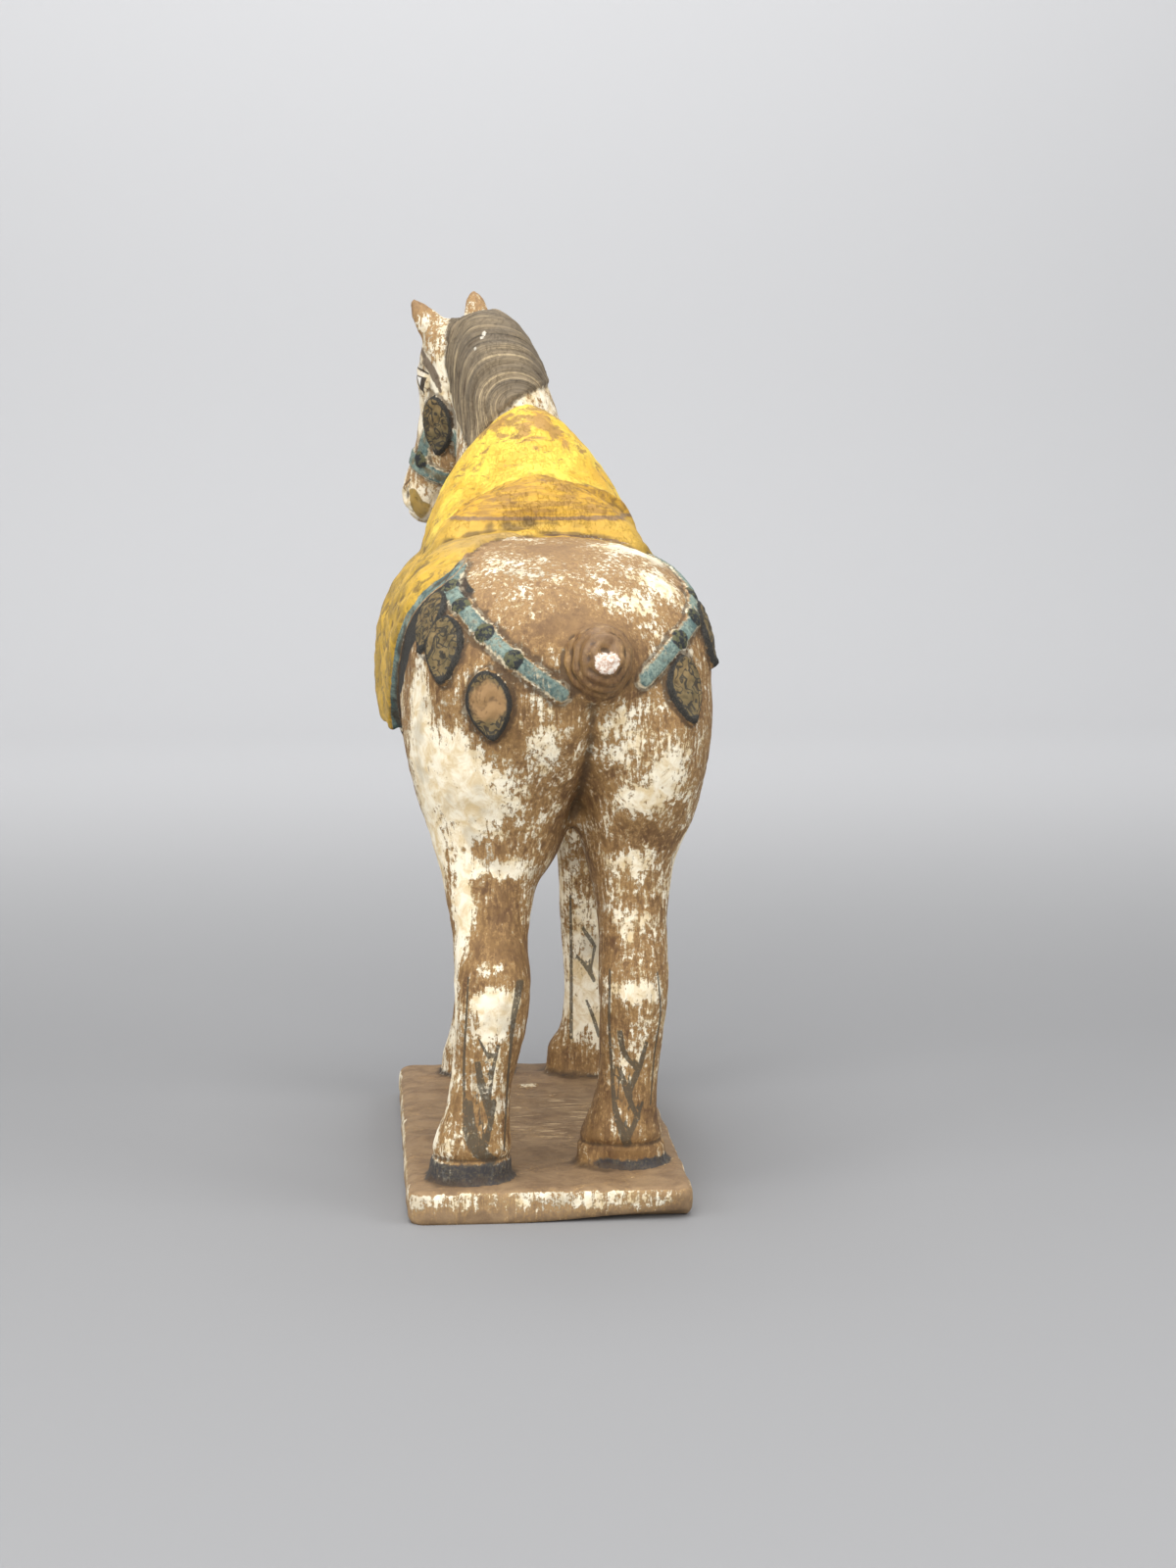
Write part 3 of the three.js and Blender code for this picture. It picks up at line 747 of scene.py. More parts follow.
def cloth_sides(points):
    """Two measures of the saddle cloth. The first is how far points lie past the cloth's painted edge,
    less than 0 on the cloth: down its rim, then out over the flank. The second is how far they stand off
    the saddle's skin. The height off the trunk is scaled so that the blanket is as thick all round."""
    x, y, z = points.T
    rim_foot, rim_round = 4.1, 0.8
    side = felt_side(y)
    height, upward = stood_off(points, trunk_rows)
    height = height / (side - (side - blanket_top) * upward) * blanket_side
    rear_left = edge_at(blanket_rear_left, turn_on_trunk(points))
    on_left = x > section_at(trunk_rows, y)[0]
    rear = np.where(on_left, rear_left, edge_at(blanket_rear_right, z))
    inside = np.minimum(np.minimum(rear - y, y - edge_at(blanket_front, z)), z - blanket_hem)
    rim = rim_foot - np.minimum(height, blanket_side) + np.maximum(-inside - rim_round, 0)
    saddle_rear, saddle_front, saddle_foot = 25.5, -61, 240
    off = np.abs(stood_off(points, saddle_rows)[0])
    off = off + np.maximum(y - saddle_rear, 0) + np.maximum(saddle_front - y, 0) + 9 * (z < saddle_foot)
    return rim, off


# The mane
# The crest is a raised band of clay, and its hair is combed into long strands, each bent over from the
# crest and falling down the neck's sides. The strands are even steps of one measure: the way round the
# neck from the crest, and above a bend height the hypotenuse of that and the height over the bend. The
# mane's front edge is y at a height z, and its foot is a height at x.
mane_proud = 1.3
mane_bend = 303
neck_round = 27
crest_aside = 6
mane_front = np.array([
    [283, -67],
    [292, -75],
    [300, -84],
    [311, -94],
    [322, -97],
    [332, -97],
    [338, -101],
    [348, -110],
])
mane_foot = np.array([
    [-22, 316],
    [-10, 313],
    [0, 309],
    [8, 303],
    [14, 298],
    [22, 285],
    [27, 287],
    [33, 292],
])


def mane_sides(points, off_saddle):
    """How far points lie inside the mane, and which strand they lie on."""
    x, y, z = points.T
    neck = spline(neck_rows)
    mid_x, mid_y = np.interp(z, neck[:, 2], neck[:, 0]), np.interp(z, neck[:, 2], neck[:, 1])
    round_neck = neck_round * np.arctan2(x - mid_x + crest_aside, y - mid_y)
    strand = np.hypot(round_neck, np.maximum(z - mane_bend, 0))
    inside = np.minimum(y - edge_at(mane_front, z), z - edge_at(mane_foot, x))
    left_ear = beside(points, np.array(left_ear_rows)[[0, -1], :3])[0]
    right_ear = beside(points, np.array(right_ear_rows)[[0, -1], :3])[0]
    inside = np.minimum(inside, np.minimum(left_ear - 8.5, right_ear - 7.5))
    on_neck = (z > 270) & (y < -40)
    return np.where(on_neck, np.minimum(inside, off_saddle - 0.8), -9), strand


# The relief on the skin
# What the modeller lays on, presses in with a stick or scratches with a comb is a rise or fall of the skin
# along its outward way, in millimetres.
def along_noseband(points):
    """How far points lie from the ring that the noseband follows: their distance from a plane across the
    muzzle, near to its middle."""
    middle = noseband_rows[3, :3]
    slope = unit(noseband_rows[-1, :3] - noseband_rows[0, :3])
    near_muzzle = np.linalg.norm(points - middle, axis=1) < 22
    return np.where(near_muzzle, np.abs((points - middle) @ slope), 99)


def nearest(points, paths):
    """How far points lie from the nearest of some paths."""
    return np.min([beside(points, path)[0] for path in paths], axis=0)


# The cantle's crest: the y at which the seat ends, for each x.
seat_edge = np.array([
    [-46, -26],
    [-38, -20],
    [-33, -15],
    [-16, -1],
    [-1, 6],
    [11, 6],
    [24, 2],
    [30, 2.5],
    [38, 4],
    [46, 4],
])

ways = outward(skin, faces)
x, y, z = skin.T
strap_gap = nearest(skin, straps)
bridle_gap = np.minimum(nearest(skin, bridles), along_noseband(skin))
rim, off_saddle = cloth_sides(skin)
bared = ease(rim, 0.5, 3)
leaf_in, leaf_down, leaf_across = leaf_sides(skin)
stud_in = stud_sides(skin)
mane_in, strand = mane_sides(skin, off_saddle)

strap_rise = strap_proud * ease(strap_wide / 2 - strap_gap, -0.3, 1.2) * bared
bridle_rise = bridle_proud * ease(bridle_wide / 2 - bridle_gap, -0.3, 1)
stud_rise = stud_proud * np.sqrt(np.clip(1 - (1 - stud_in / stud_radius) ** 2, 0, 1)) * bared
rim_bead = 0.35 * np.exp(-(((leaf_in - 1.5) / 0.8) ** 2))
tip_bead = 1.3 * np.exp(-((leaf_down - leaf_long + 2.2) ** 2 + leaf_across**2) / 3)
scroll = 0.3 * np.sin(leaf_down * 0.9 + 1.6 * np.sin(leaf_across * 0.8)) * ease(leaf_in, 2, 3.5)
leaf_rise = (leaf_proud * ease(leaf_in, -0.3, 2.2) + rim_bead + scroll + tip_bead) * (leaf_in > -0.5)
trappings = np.maximum.reduce([strap_rise, bridle_rise, stud_rise, leaf_rise])

comb = np.sin(2 * np.pi * strand / 5.2 + 1.2 * waves(skin, 22, 3)) + 0.5 * np.sin(2 * np.pi * strand / 2.9)
mane_rise = (mane_proud + 0.3 * comb) * ease(mane_in, 0, 2.5)

tail_tip = np.array([-20, 123.5, 215])
tail_way = unit(tail_tip - [-17.5, 94, 210])
from_tip = skin - tail_tip
along_tail = from_tip @ tail_way
round_tail = np.linalg.norm(from_tip - along_tail[:, None] * tail_way, axis=1)
tail_turn = np.arctan2(from_tip[:, 2], from_tip[:, 0])
on_tail = ease(y, 105, 110) * (1 - ease(round_tail, 14, 17))
coil = np.sin(2 * np.pi * (round_tail / 5.5 - along_tail / 7) + tail_turn + 0.9 * waves(skin, 14, 5))
pit = -2.6 * np.exp(-((np.linalg.norm(skin - [-20.5, 122.5, 217.5], axis=1) / 3.6) ** 4))
blot_middle = np.array([-20, 123.3, 212])
blot = np.exp(-((np.linalg.norm(skin - blot_middle, axis=1) / 4) ** 4))
tail_rise = on_tail * (0.42 * coil + pit + 0.5 * blot + 0.35 * waves(skin, 6, 9))

past_seat = y - edge_at(seat_edge, x)
on_top = ease(z, 252, 258)
on_flap = ease(y, -30, 20) * ease(np.abs(x), 25, 40)
cantle = on_top * (1.3 * np.exp(-((past_seat / 1.8) ** 2)) - 0.7 * np.exp(-(((past_seat - 5) / 3) ** 2)))
hem_fold = 0.45 * on_top * (np.exp(-(((y - 20.2) / 0.9) ** 2)) - np.exp(-(((y - 18.4) / 0.9) ** 2)))
folds = 0.35 * on_flap * np.sin(0.55 * (z - 0.35 * y) + 1.4 * waves(skin, 30, 6))
cloth_rise = (1 - bared) * (folds + cantle + hem_fold + 0.25 * waves(skin, 9, 7))

muzzle_middle = np.array([39.6, -134, 262])
mouth_stops = [(-52, -8), (-20, -14), (5, -20), (25, -24)]
mouths = [found(on_head, muzzle_middle, stops) for stops in (mouth_stops, other_side(mouth_stops))]
mouth_gap = nearest(skin, mouths)
brow_ridge = 51.4
across_face = np.abs(skin @ head_left + brow_ridge)
down_face = skin @ head_front
off_face = 9.0 * ((z < 250) | (y > -98))
eye_round = np.hypot((down_face - 112.3) / 5.5, (z - 316) / 4.4) + 9 * (across_face < 6) + off_face
nostril = np.hypot((down_face - 133) / 3, (z - 266) / 2.6) + 9 * (across_face < 4) + off_face
brow = np.exp(-(((z - 322.5 + 0.35 * (down_face - 112)) / 1.6) ** 2) - ((down_face - 111) / 7) ** 2)
face_rise = (
    1.2 * np.sqrt(np.clip(1 - eye_round**2, 0, 1))
    + 0.8 * brow * (across_face > 8) * (off_face == 0)
    - 0.9 * np.exp(-((mouth_gap / 0.9) ** 2))
    - 1.4 * np.exp(-(nostril**2))
    + 0.7 * np.exp(-((nostril - 1.5) ** 2) / 0.15)
)
ear_left = beside(skin, np.array([[39.5, -112.5, 335], [46, -111.5, 350.5]]))[0]
ear_right = beside(skin, np.array([[19.5, -122.5, 343], [20, -126, 353.5]]))[0]
ear_rise = -1.3 * np.exp(-((np.minimum(ear_left, ear_right) / 2.6) ** 2))

# A groove over the hind hooves, and the slab's hind edge worn away below, mostly on the right.
hoof_line = -0.9 * np.exp(-(((z - 22.6) / 1.3) ** 2)) * ease(y, 40, 50)
worn_edge = ease(y, 100, 111) * ease(-z, -12, 0) * ease(-x, -20, 54)

hand = 0.22 * waves(skin, 26, 1) + 0.1 * waves(skin, 7, 2)
rise = trappings + mane_rise + tail_rise + cloth_rise + face_rise + ear_rise + hoof_line
skin = skin + ways * (rise + hand * ease(z, 0.5, 3))[:, None]
flat_foot = 0.6
skin[:, 2] = np.where(z < flat_foot, 0, skin[:, 2]) + 3.6 * worn_edge
skin[:, 1] -= 1.5 * worn_edge


# The finished figure
# The fired figure is one piece. Its fine skin is thinned where it is smooth, as on the slab and the
# thighs, and kept where it is worked.
most_faces = 198000
thinning = {"ratio": most_faces / len(faces), "use_collapse_triangulate": True}
skin, faces = worked("clay", skin, faces, "DECIMATE", **thinning)
horse = bpy.data.objects.new("terracotta_horse_figure", mesh_of("terracotta_horse_figure", skin, faces))
bpy.context.scene.collection.objects.link(horse)
horse.data.shade_smooth()


def mark(name, values):
    """A measure kept at each point of the figure, for the painter to follow."""
    layer = horse.data.attributes.new(name, "FLOAT", "POINT")
    layer.data.foreach_set("value", np.asarray(values, np.float32))


# Where the paint goes
# The painter follows the modelled edges, and washes the slip on more thickly in some places than in
# others. Each measure is kept on the figure as a mark.
ways = outward(skin, faces)
x, y, z = skin.T
rim, off_saddle = cloth_sides(skin)
leaf_in, leaf_down, leaf_across = leaf_sides(skin)
mane_in, strand = mane_sides(skin, off_saddle)
strap_in = strap_wide / 2 - nearest(skin, straps)
bridle_in = bridle_wide / 2 - np.minimum(nearest(skin, bridles), along_noseband(skin))
rim_wide = 4.5
border_wide = 1.5 + 13.5 * ease(-z, -246, -234) * ease(y, 5, 20) * ease(z, 176, 192)
on_cloth, off_cloth = -3, 40
rimless = np.where(rim < rim_wide + 0.1, on_cloth, off_cloth)
mark("rim", np.where(z < 249, rim, rimless))
mark("border", rim - rim_wide - border_wide)
mark("saddle", 1.6 - off_saddle)
mark("past_seat", y - edge_at(seat_edge, x))
mark("strap", np.maximum(strap_in, bridle_in))
mark("stud", stud_sides(skin))
mark("leaf", leaf_in)
mark("leaf_down", leaf_down)
mark("leaf_across", leaf_across)
mark("mane", mane_in)
mark("strand", strand)
mark("face", np.where((z > 245) & (y < -95), np.abs(skin @ head_left + brow_ridge) - 3, -9))

# A hollow is where a point's neighbours stand out past it, on the mean.
one, other = faces.ravel(), np.roll(faces, -1, 1).ravel()
stand_out = ((skin[other] - skin[one]) * ways[one]).sum(1)
hollow = np.bincount(one, stand_out, len(skin)) / np.bincount(one)
hollow = softened(np.column_stack([hollow] * 3), faces, 2, 0.5)[:, 0]
deep = 0.12
mark("hollow", np.clip(hollow / deep, -1, 1))

# Washes of slip: the middle of each, its reach across and up, and how much more slip it holds.
washes = [
    (13, 80, 243, 11, 8, 0.75),
    (-37, 45, 248, 15, 12, 1.5),
    (-42, 76, 237, 9, 12, 1.0),
    (-32, 90, 230, 9, 8, 0.5),
    (-3, 60, 250, 12, 8, -0.3),
    (46, 86, 208, 7, 16, 0.8),
    (48, 82, 188, 8, 14, 0.9),
    (34, 97, 166, 17, 20, 1.6),
    (22, 97, 152, 8, 12, 0.6),
    (1, 105, 180, 7, 14, 0.7),
    (-10, 103, 175, 2.5, 14, 0.6),
    (18, 92, 131.5, 14, 4.5, 1.3),
    (33, 90, 108, 4.5, 34, 1.5),
    (40, 76, 140, 6, 18, 1.3),
    (16, 96, 108, 9, 15, -0.5),
    (21, 104, 83, 9, 4, 1.8),
    (21, 104, 74, 8, 8, 0.8),
    (22, 103, 50, 8, 22, 0.45),
    (37, 92, 52, 3.5, 26, 1.2),
    (43, 90, 28, 6, 6, 1.6),
    (-33, 102, 186, 14, 10, 0.5),
    (-45, 98, 164, 8, 13, 1.3),
    (-31, 96, 158, 10, 7, 1.0),
    (-34, 88, 133, 13, 5, 1.0),
    (-52, 70, 140, 4.5, 36, 1.5),
    (-33, 85, 108, 9, 7, 1.1),
    (-34, 88, 83, 9, 4.5, 1.4),
    (-33, 86, 62, 8, 22, 0.45),
    (-45, 74, 80, 3, 30, 1.2),
    (-18, 114, 212, 17, 17, -1.2),
    (-11, 102, 224, 10, 8, -0.5),
    (38, -107, 344, 9, 10, -0.2),
    (28, -108, 300, 14, 22, 0.8),
    (30, -106, 283, 12, 7, -1.0),
    (40, -134, 264, 13, 13, 1.0),
    (-30, -82, 60, 14, 50, 0.7),
    (-30, -94, 20, 24, 10, -1.4),
    (-6, -60, 305, 14, 12, 0.3),
    (44, -109, 348, 6, 8, -1.4),
    (38, -107, 338, 8, 7, -0.45),
    (17.5, -120, 348, 6, 9, -1.0),
    (-20, 118, 214, 16, 16, 0.3),
    (-32, 84, 20, 16, 5, -0.8),
    (44, 84, 165, 9, 26, 0.9),
    (-50, 84, 180, 6, 30, 0.8),
]
slip = np.full(len(skin), -0.3)
for wash_x, wash_y, wash_z, wide, high, amount in washes:
    away = ((x - wash_x) ** 2 + (y - wash_y) ** 2) / wide**2 + ((z - wash_z) / high) ** 2
    slip += amount * np.exp(-away)
slip += 0.35 * ease(-y, -40, 30) + 0.3 * ease(z, 262, 300)
slab_top_slip = -1.1
slab_side_slip = -0.75 + 0.9 * ease(z, 3, 8)
slab_slip = np.where(ways[:, 2] > 0.7, slab_top_slip, slab_side_slip)
slip = np.where(z < slab_thick + 0.4, slab_slip, slip)
slip -= 0.9 * (z < slab_thick + 1) * np.exp(-(((x + 52) / 8) ** 2 + ((y - 110) / 8) ** 2))
mark("slip", slip)

# Black hooves: how far points lie under each hoof's painted top and within its round. The forehooves'
# black rises at their right corners.
hoof_tops = (21.6, 17.4, 15, 14)
hoof_round = 18
hoof_in = np.full(len(skin), -9.0)
for (hoof_x, hoof_y, size), top in zip(hooves, hoof_tops):
    corner = 6 * np.exp(-(((x - hoof_x + 15.5) / 2) ** 2)) * (top < 17)
    depth = np.minimum(top + corner - z, hoof_round * size - np.hypot(x - hoof_x, y - hoof_y))
    hoof_in = np.maximum(hoof_in, np.where(z > slab_thick + 0.2, depth, -9))
mark("hoof", hoof_in)

# Long hair drawn on the shanks with a fine brush, seen from behind. Each stroke gives the span of y that
# it lies in, its path as x and z, and its half width at the start, the middle and the end.
left_hind, right_hind, fore_span = (94, 112), (74, 92), (-84, -70)
strokes = [
    (left_hind, [(30.4, 92), (31.3, 76), (32.2, 58), (32, 41)], 0.35, 0.5, 0.6),
    (left_hind, [(11.5, 88), (13.6, 77), (14.8, 64), (15.8, 50), (17.2, 26)], 1.7, 0.6, 0.4),
    (left_hind, [(26.9, 70), (24.8, 65.6), (22.4, 61)], 0.35, 0.6, 0.7),
    (left_hind, [(19.5, 66), (21.5, 56.7), (22.7, 47), (23, 40)], 0.7, 0.8, 0.6),
    (left_hind, [(26.9, 58.5), (26, 53), (24.2, 46), (22.4, 38)], 1.2, 1.8, 0.9),
    (left_hind, [(30.6, 42), (30, 34.4), (27.3, 27.3), (23.8, 24)], 1.9, 3.3, 2.2),
    (left_hind, [(20.3, 45.6), (22.4, 36.7), (24.4, 29)], 0.4, 1.1, 1.2),
    (right_hind, [(-24.2, 91), (-24, 72), (-25.2, 51), (-26.5, 36), (-30.1, 25.5)], 0.4, 0.6, 1.9),
    (right_hind, [(-42.2, 90), (-43.7, 74), (-41.8, 60), (-40.2, 38)], 0.4, 0.45, 0.35),
    (right_hind, [(-28.1, 66), (-29.3, 60), (-31.6, 56), (-34.8, 52.6)], 1.1, 1.1, 0.6),
    (right_hind, [(-37.9, 62), (-35.5, 53), (-32.8, 47), (-31.4, 42)], 0.8, 1.4, 1.0),
    (right_hind, [(-28.1, 52), (-30.1, 46), (-32.8, 38), (-35.2, 33.4)], 0.9, 1.3, 0.7),
    (right_hind, [(-36.7, 39), (-34, 32), (-30.8, 25.6)], 0.5, 1.1, 1.2),
]
for side in (1, -1):
    fore_strokes = [
        ([(15.6, 93), (16.1, 65), (16.1, 31)], 0.55, 0.65, 0.8),
        ([(21.3, 79), (26.2, 71.4)], 0.8, 1.0, 0.7),
        ([(26.2, 71.4), (24.4, 61)], 0.8, 0.6, 0.4),
        ([(18.4, 67), (22.7, 62), (25.5, 57)], 0.5, 1.1, 0.9),
        ([(22.7, 47), (25.5, 40), (27.9, 32)], 0.5, 0.9, 0.8),
    ]
    strokes += [
        (fore_span, [(fore_middle + side * spread, height) for spread, height in path], *halves)
        for path, *halves in fore_strokes
    ]

# Points' distance from the nearest stroke's middle line and their offset to its left, in its half widths.
ink_offset, ink_reach = np.full((2, len(skin)), 9.0)
from_behind = np.column_stack([x, z])
for (low, high), path, *halves in strokes:
    path = spline(path, 5)
    beside_path = (z < path[:, 1].max() + 9) & (z > path[:, 1].min() - 9)
    chosen = np.flatnonzero((y > low) & (y < high) & beside_path)
    here = from_behind[chosen]
    reach, offset = np.full((2, len(chosen)), 9.0)
    for k, (start, end) in enumerate(zip(path[:-1], path[1:])):
        stretch = end - start
        share = np.clip((here - start) @ stretch / (stretch @ stretch), 0, 1)
        apart = here - start - share[:, None] * stretch
        half = np.interp((k + share) / (len(path) - 1), [0, 0.5, 1], halves)
        away = np.linalg.norm(apart, axis=1) / half
        left = (apart @ [-stretch[1], stretch[0]]) / np.linalg.norm(stretch) / half
        closer = away < reach
        reach, offset = np.where(closer, away, reach), np.where(closer, left, offset)
    closer = reach < ink_reach[chosen]
    ink_reach[chosen[closer]] = reach[closer]
    ink_offset[chosen[closer]] = offset[closer]
mark("ink_offset", np.clip(ink_offset, -9, 9))
mark("ink_reach", ink_reach)


# Paint on fired clay
# The fired clay is brown. Over it lie a flaking white slip, earth colours on the trappings and lamp black for
# the outlines, brushed on cold, and the dirt of long burial with painted shade in the hollows.
def pigment(code):
    """A painter's colour, given as six hex digits, in the linear numbers that a shader takes."""
    parts = [int(code[k : k + 2], 16) / 255 for k in (1, 3, 5)]
    return (*(c / 12.92 if c <= 0.04045 else ((c + 0.055) / 1.055) ** 2.4 for c in parts), 1)


class Bench:
    """One node tree, and short words for the few nodes that the paint is mixed from."""

    def __init__(self, tree):
        self.tree = tree

    def put(self, kind, feeds, **settings):
        """A node with its settings, fed by numbers or by other nodes' sockets."""
        made = self.tree.nodes.new("ShaderNode" + kind)
        for name, value in settings.items():
            setattr(made, name, value)
        for socket, value in feeds.items():
            if isinstance(value, bpy.types.NodeSocket):
                self.tree.links.new(value, made.inputs[socket])
            else:
                made.inputs[socket].default_value = value
        return made

    def sum(self, operation, *values):
        """A sum worked on one, two or three values."""
        return self.put("Math", dict(enumerate(values)), operation=operation).outputs[0]

    def turn(self, operation, *values):
        """A sum worked on one or two places. Its first output is a place and its second a number."""
        return self.put("VectorMath", dict(enumerate(values)), operation=operation).outputs

    def gap(self, place, other):
        """How far one place is from another."""
        return self.turn("DISTANCE", place, other)[1]

    def scaled(self, place, times):
        """A place moved so many times as far from the middle."""
        return self.put("VectorMath", {0: place, 3: times}, operation="SCALE").outputs[0]

    def step(self, value, low, high, bottom=0.0, top=1.0):
        """A smooth step of a value between two limits."""
        feeds = {0: value, 1: low, 2: high, 3: bottom, 4: top}
        return self.put("MapRange", feeds, interpolation_type="SMOOTHSTEP").outputs[0]

    def blend(self, share, under, over):
        """One colour laid over another, by a share."""
        return self.put("Mix", {0: share, 6: under, 7: over}, data_type="RGBA").outputs[2]

    def tone(self, colour, value, low, high, code, most=1.0):
        """A colour with a pigment laid over it, as a value goes from low to high."""
        return self.blend(self.step(value, low, high, 0.0, most), colour, pigment(code))

    def fold(self, operation, values):
        """A sum worked along a row of values."""
        total = values[0]
        for value in values[1:]:
            total = self.sum(operation, total, value)
        return total

    def both(self, *masks):
        """Where all of some masks hold."""
        return self.fold("MULTIPLY", masks)

    def noise(self, place, scale, detail, rough, swirl=0.0):
        """Cloudy noise from 0 to 1, with so many features a millimetre."""
        feeds = {"Vector": place, "Scale": scale, "Detail": detail, "Roughness": rough, "Distortion": swirl}
        return self.put("TexNoise", feeds).outputs[0]

    def smeared(self, place, scales, detail, rough, swirl=0.0):
        """Noise drawn out by a brush: it has its own scale in each of three ways."""
        return self.noise(self.turn("MULTIPLY", place, scales)[0], 1.0, detail, rough, swirl)

    def ragged(self, value, place, scale, amount):
        """A measure made uneven by noise, so that an edge drawn at one of its values is ragged."""
        shaken = self.sum("MULTIPLY", self.sum("SUBTRACT", self.noise(place, scale, 4.0, 0.65), 0.5), amount)
        return self.sum("ADD", value, shaken)

    def mark(self, name):
        """A measure kept on the figure."""
        return self.put("Attribute", {}, attribute_name=name).outputs["Fac"]


def group(name, ins, outs):
    """An empty shader group with named inputs and outputs."""
    tree = bpy.data.node_groups.new(name, "ShaderNodeTree")
    for label, kind in ins:
        tree.interface.new_socket(label, in_out="INPUT", socket_type="NodeSocket" + kind)
    for label, kind in outs:
        tree.interface.new_socket(label, in_out="OUTPUT", socket_type="NodeSocket" + kind)
    return tree, tree.nodes.new("NodeGroupInput").outputs, tree.nodes.new("NodeGroupOutput").inputs


# Flaking: what is left of a coat of paint. Share is how much is left, from -1 to 1. Coat is where it is
# whole, and Film is where it is whole or rubbed thin.
flaking, given, gives = group(
    "flaking",
    [("Place", "Vector"), ("Share", "Float"), ("Streak", "Float")],
    [("Coat", "Float"), ("Film", "Float")],
)
mix = Bench(flaking)
patches = mix.noise(given["Place"], 0.06, 4, 0.62, 0.4)
brushed = mix.smeared(given["Place"], (0.6, 0.6, 0.09), 6, 0.68, 0.5)
crumbs = mix.noise(given["Place"], 0.5, 9, 0.76, 0.3)
streaked = mix.both(mix.sum("SUBTRACT", brushed, 0.5), given["Streak"])
shares = [mix.both(patches, 0.8), mix.both(crumbs, 0.95), streaked, mix.both(given["Share"], 0.25)]
total = mix.fold("ADD", shares)
flaking.links.new(mix.step(total, 0.87, 0.96), gives["Coat"])
flaking.links.new(mix.step(total, 0.68, 0.92), gives["Film"])

# Stroke: how far a place lies inside a straight brush stroke from one place to another.
brush_stroke, given, gives = group(
    "brush_stroke",
    [("Place", "Vector"), ("Start", "Vector"), ("End", "Vector"), ("Half", "Float")],
    [("Inside", "Float")],
)
mix = Bench(brush_stroke)
stretch = mix.turn("SUBTRACT", given["End"], given["Start"])[0]
reached = mix.turn("SUBTRACT", given["Place"], given["Start"])[0]
along = mix.turn("DOT_PRODUCT", reached, stretch)[1]
share = mix.sum("DIVIDE", along, mix.turn("DOT_PRODUCT", stretch, stretch)[1])
share = mix.put("Clamp", {0: share}).outputs[0]
away = mix.turn("LENGTH", mix.turn("SUBTRACT", reached, mix.scaled(stretch, share))[0])[1]
brush_stroke.links.new(mix.sum("SUBTRACT", given["Half"], away), gives["Inside"])


clay = bpy.data.materials.new("painted_terracotta")
clay.use_nodes = True
clay.node_tree.nodes.clear()
paint = Bench(clay.node_tree)
place = paint.scaled(paint.put("TexCoord", {}).outputs["Object"], 1000.0)
leftward, hindward, height = paint.put("SeparateXYZ", {0: place}).outputs[:3]


def flaked(share, streak, shift):
    """What is left of one coat. The shift makes each coat flake in its own way."""
    moved = paint.turn("ADD", place, (shift, shift, shift))[0]
    feeds = {"Place": moved, "Share": share, "Streak": streak}
    made = paint.put("Group", feeds, node_tree=flaking).outputs
    return made["Coat"], made["Film"]


# The bare clay: warm brown, mottled, with a fine grain.
grain = paint.noise(place, 2.2, 4, 0.7)
mottle = paint.noise(place, 0.1, 6, 0.65, 0.5)
smear = paint.smeared(place, (0.4, 0.4, 0.1), 5, 0.65)
crumb = paint.noise(place, 0.7, 6, 0.7)
colour = paint.tone(pigment("#5f4125"), mottle, 0.32, 0.68, "#856439")
colour = paint.tone(colour, smear, 0.42, 0.72, "#98764b", 0.6)
colour = paint.tone(colour, height, 205, 248, "#a0815d", 0.6)
colour = paint.tone(colour, crumb, 0.5, 0.7, "#5d4027", 0.55)
colour = paint.tone(colour, grain, 0.55, 0.75, "#523a24", 0.3)
on_slab = paint.step(height, slab_thick + 1.2, slab_thick - 0.2)
slab_clay = paint.tone(pigment("#836a4e"), mottle, 0.3, 0.7, "#a38867")
colour = paint.blend(paint.both(on_slab, 0.75), colour, slab_clay)

# The white slip over it.
slip_coat, slip_film = flaked(paint.mark("slip"), 0.85, 0.0)
tint = paint.noise(place, 0.16, 6, 0.66, 0.6)
slip_colour = paint.tone(pigment("#f9efd6"), tint, 0.38, 0.66, "#dcc497")
greyed = paint.noise(place, 0.045, 3, 0.5)
slip_colour = paint.tone(slip_colour, greyed, 0.54, 0.66, "#b9ae98", 0.6)
colour = paint.blend(paint.both(slip_film, 0.62), colour, pigment("#bd965f"))
colour = paint.blend(slip_coat, colour, slip_colour)

# Pale scratches along and across the slab's top.
scratches = paint.smeared(place, (0.07, 0.4, 0.2), 6, 0.7, 0.3)
from_middle = paint.gap(paint.turn("MULTIPLY", place, (1.0, 0.6, 1.0))[0], (-8, 0, slab_thick))
in_middle = paint.step(paint.ragged(from_middle, place, 0.08, 22), 34, 14)
scratched = paint.both(paint.step(scratches, 0.55, 0.61), in_middle, on_slab, 0.8)
colour = paint.blend(scratched, colour, pigment("#dcbf94"))

# The mane: greyish brown, with pale and dark hairs that follow the strands.
hair_feeds = {
    0: paint.sum("MULTIPLY", paint.mark("strand"), 0.8),
    1: paint.sum("MULTIPLY", height, 0.02),
    2: paint.sum("MULTIPLY", hindward, 0.012),
}
hair_place = paint.put("CombineXYZ", hair_feeds).outputs[0]
hairs = paint.noise(hair_place, 1.0, 7, 0.7, 0.15)
hair_tone = paint.noise(place, 0.05, 3, 0.5)
hair_colour = paint.tone(pigment("#463d31"), hairs, 0.34, 0.52, "#827259")
pale_hairs = paint.both(paint.step(hairs, 0.52, 0.64), paint.step(height, 340, 312, 0.35, 0.95))
hair_colour = paint.blend(pale_hairs, hair_colour, pigment("#c6b08a"))
hair_colour = paint.tone(hair_colour, hair_tone, 0.45, 0.65, "#6a5f50", 0.5)
mane_film = flaked(0.9, 0.5, 31.0)[1]
mane_edge = paint.ragged(paint.mark("mane"), place, 0.35, 3.5)
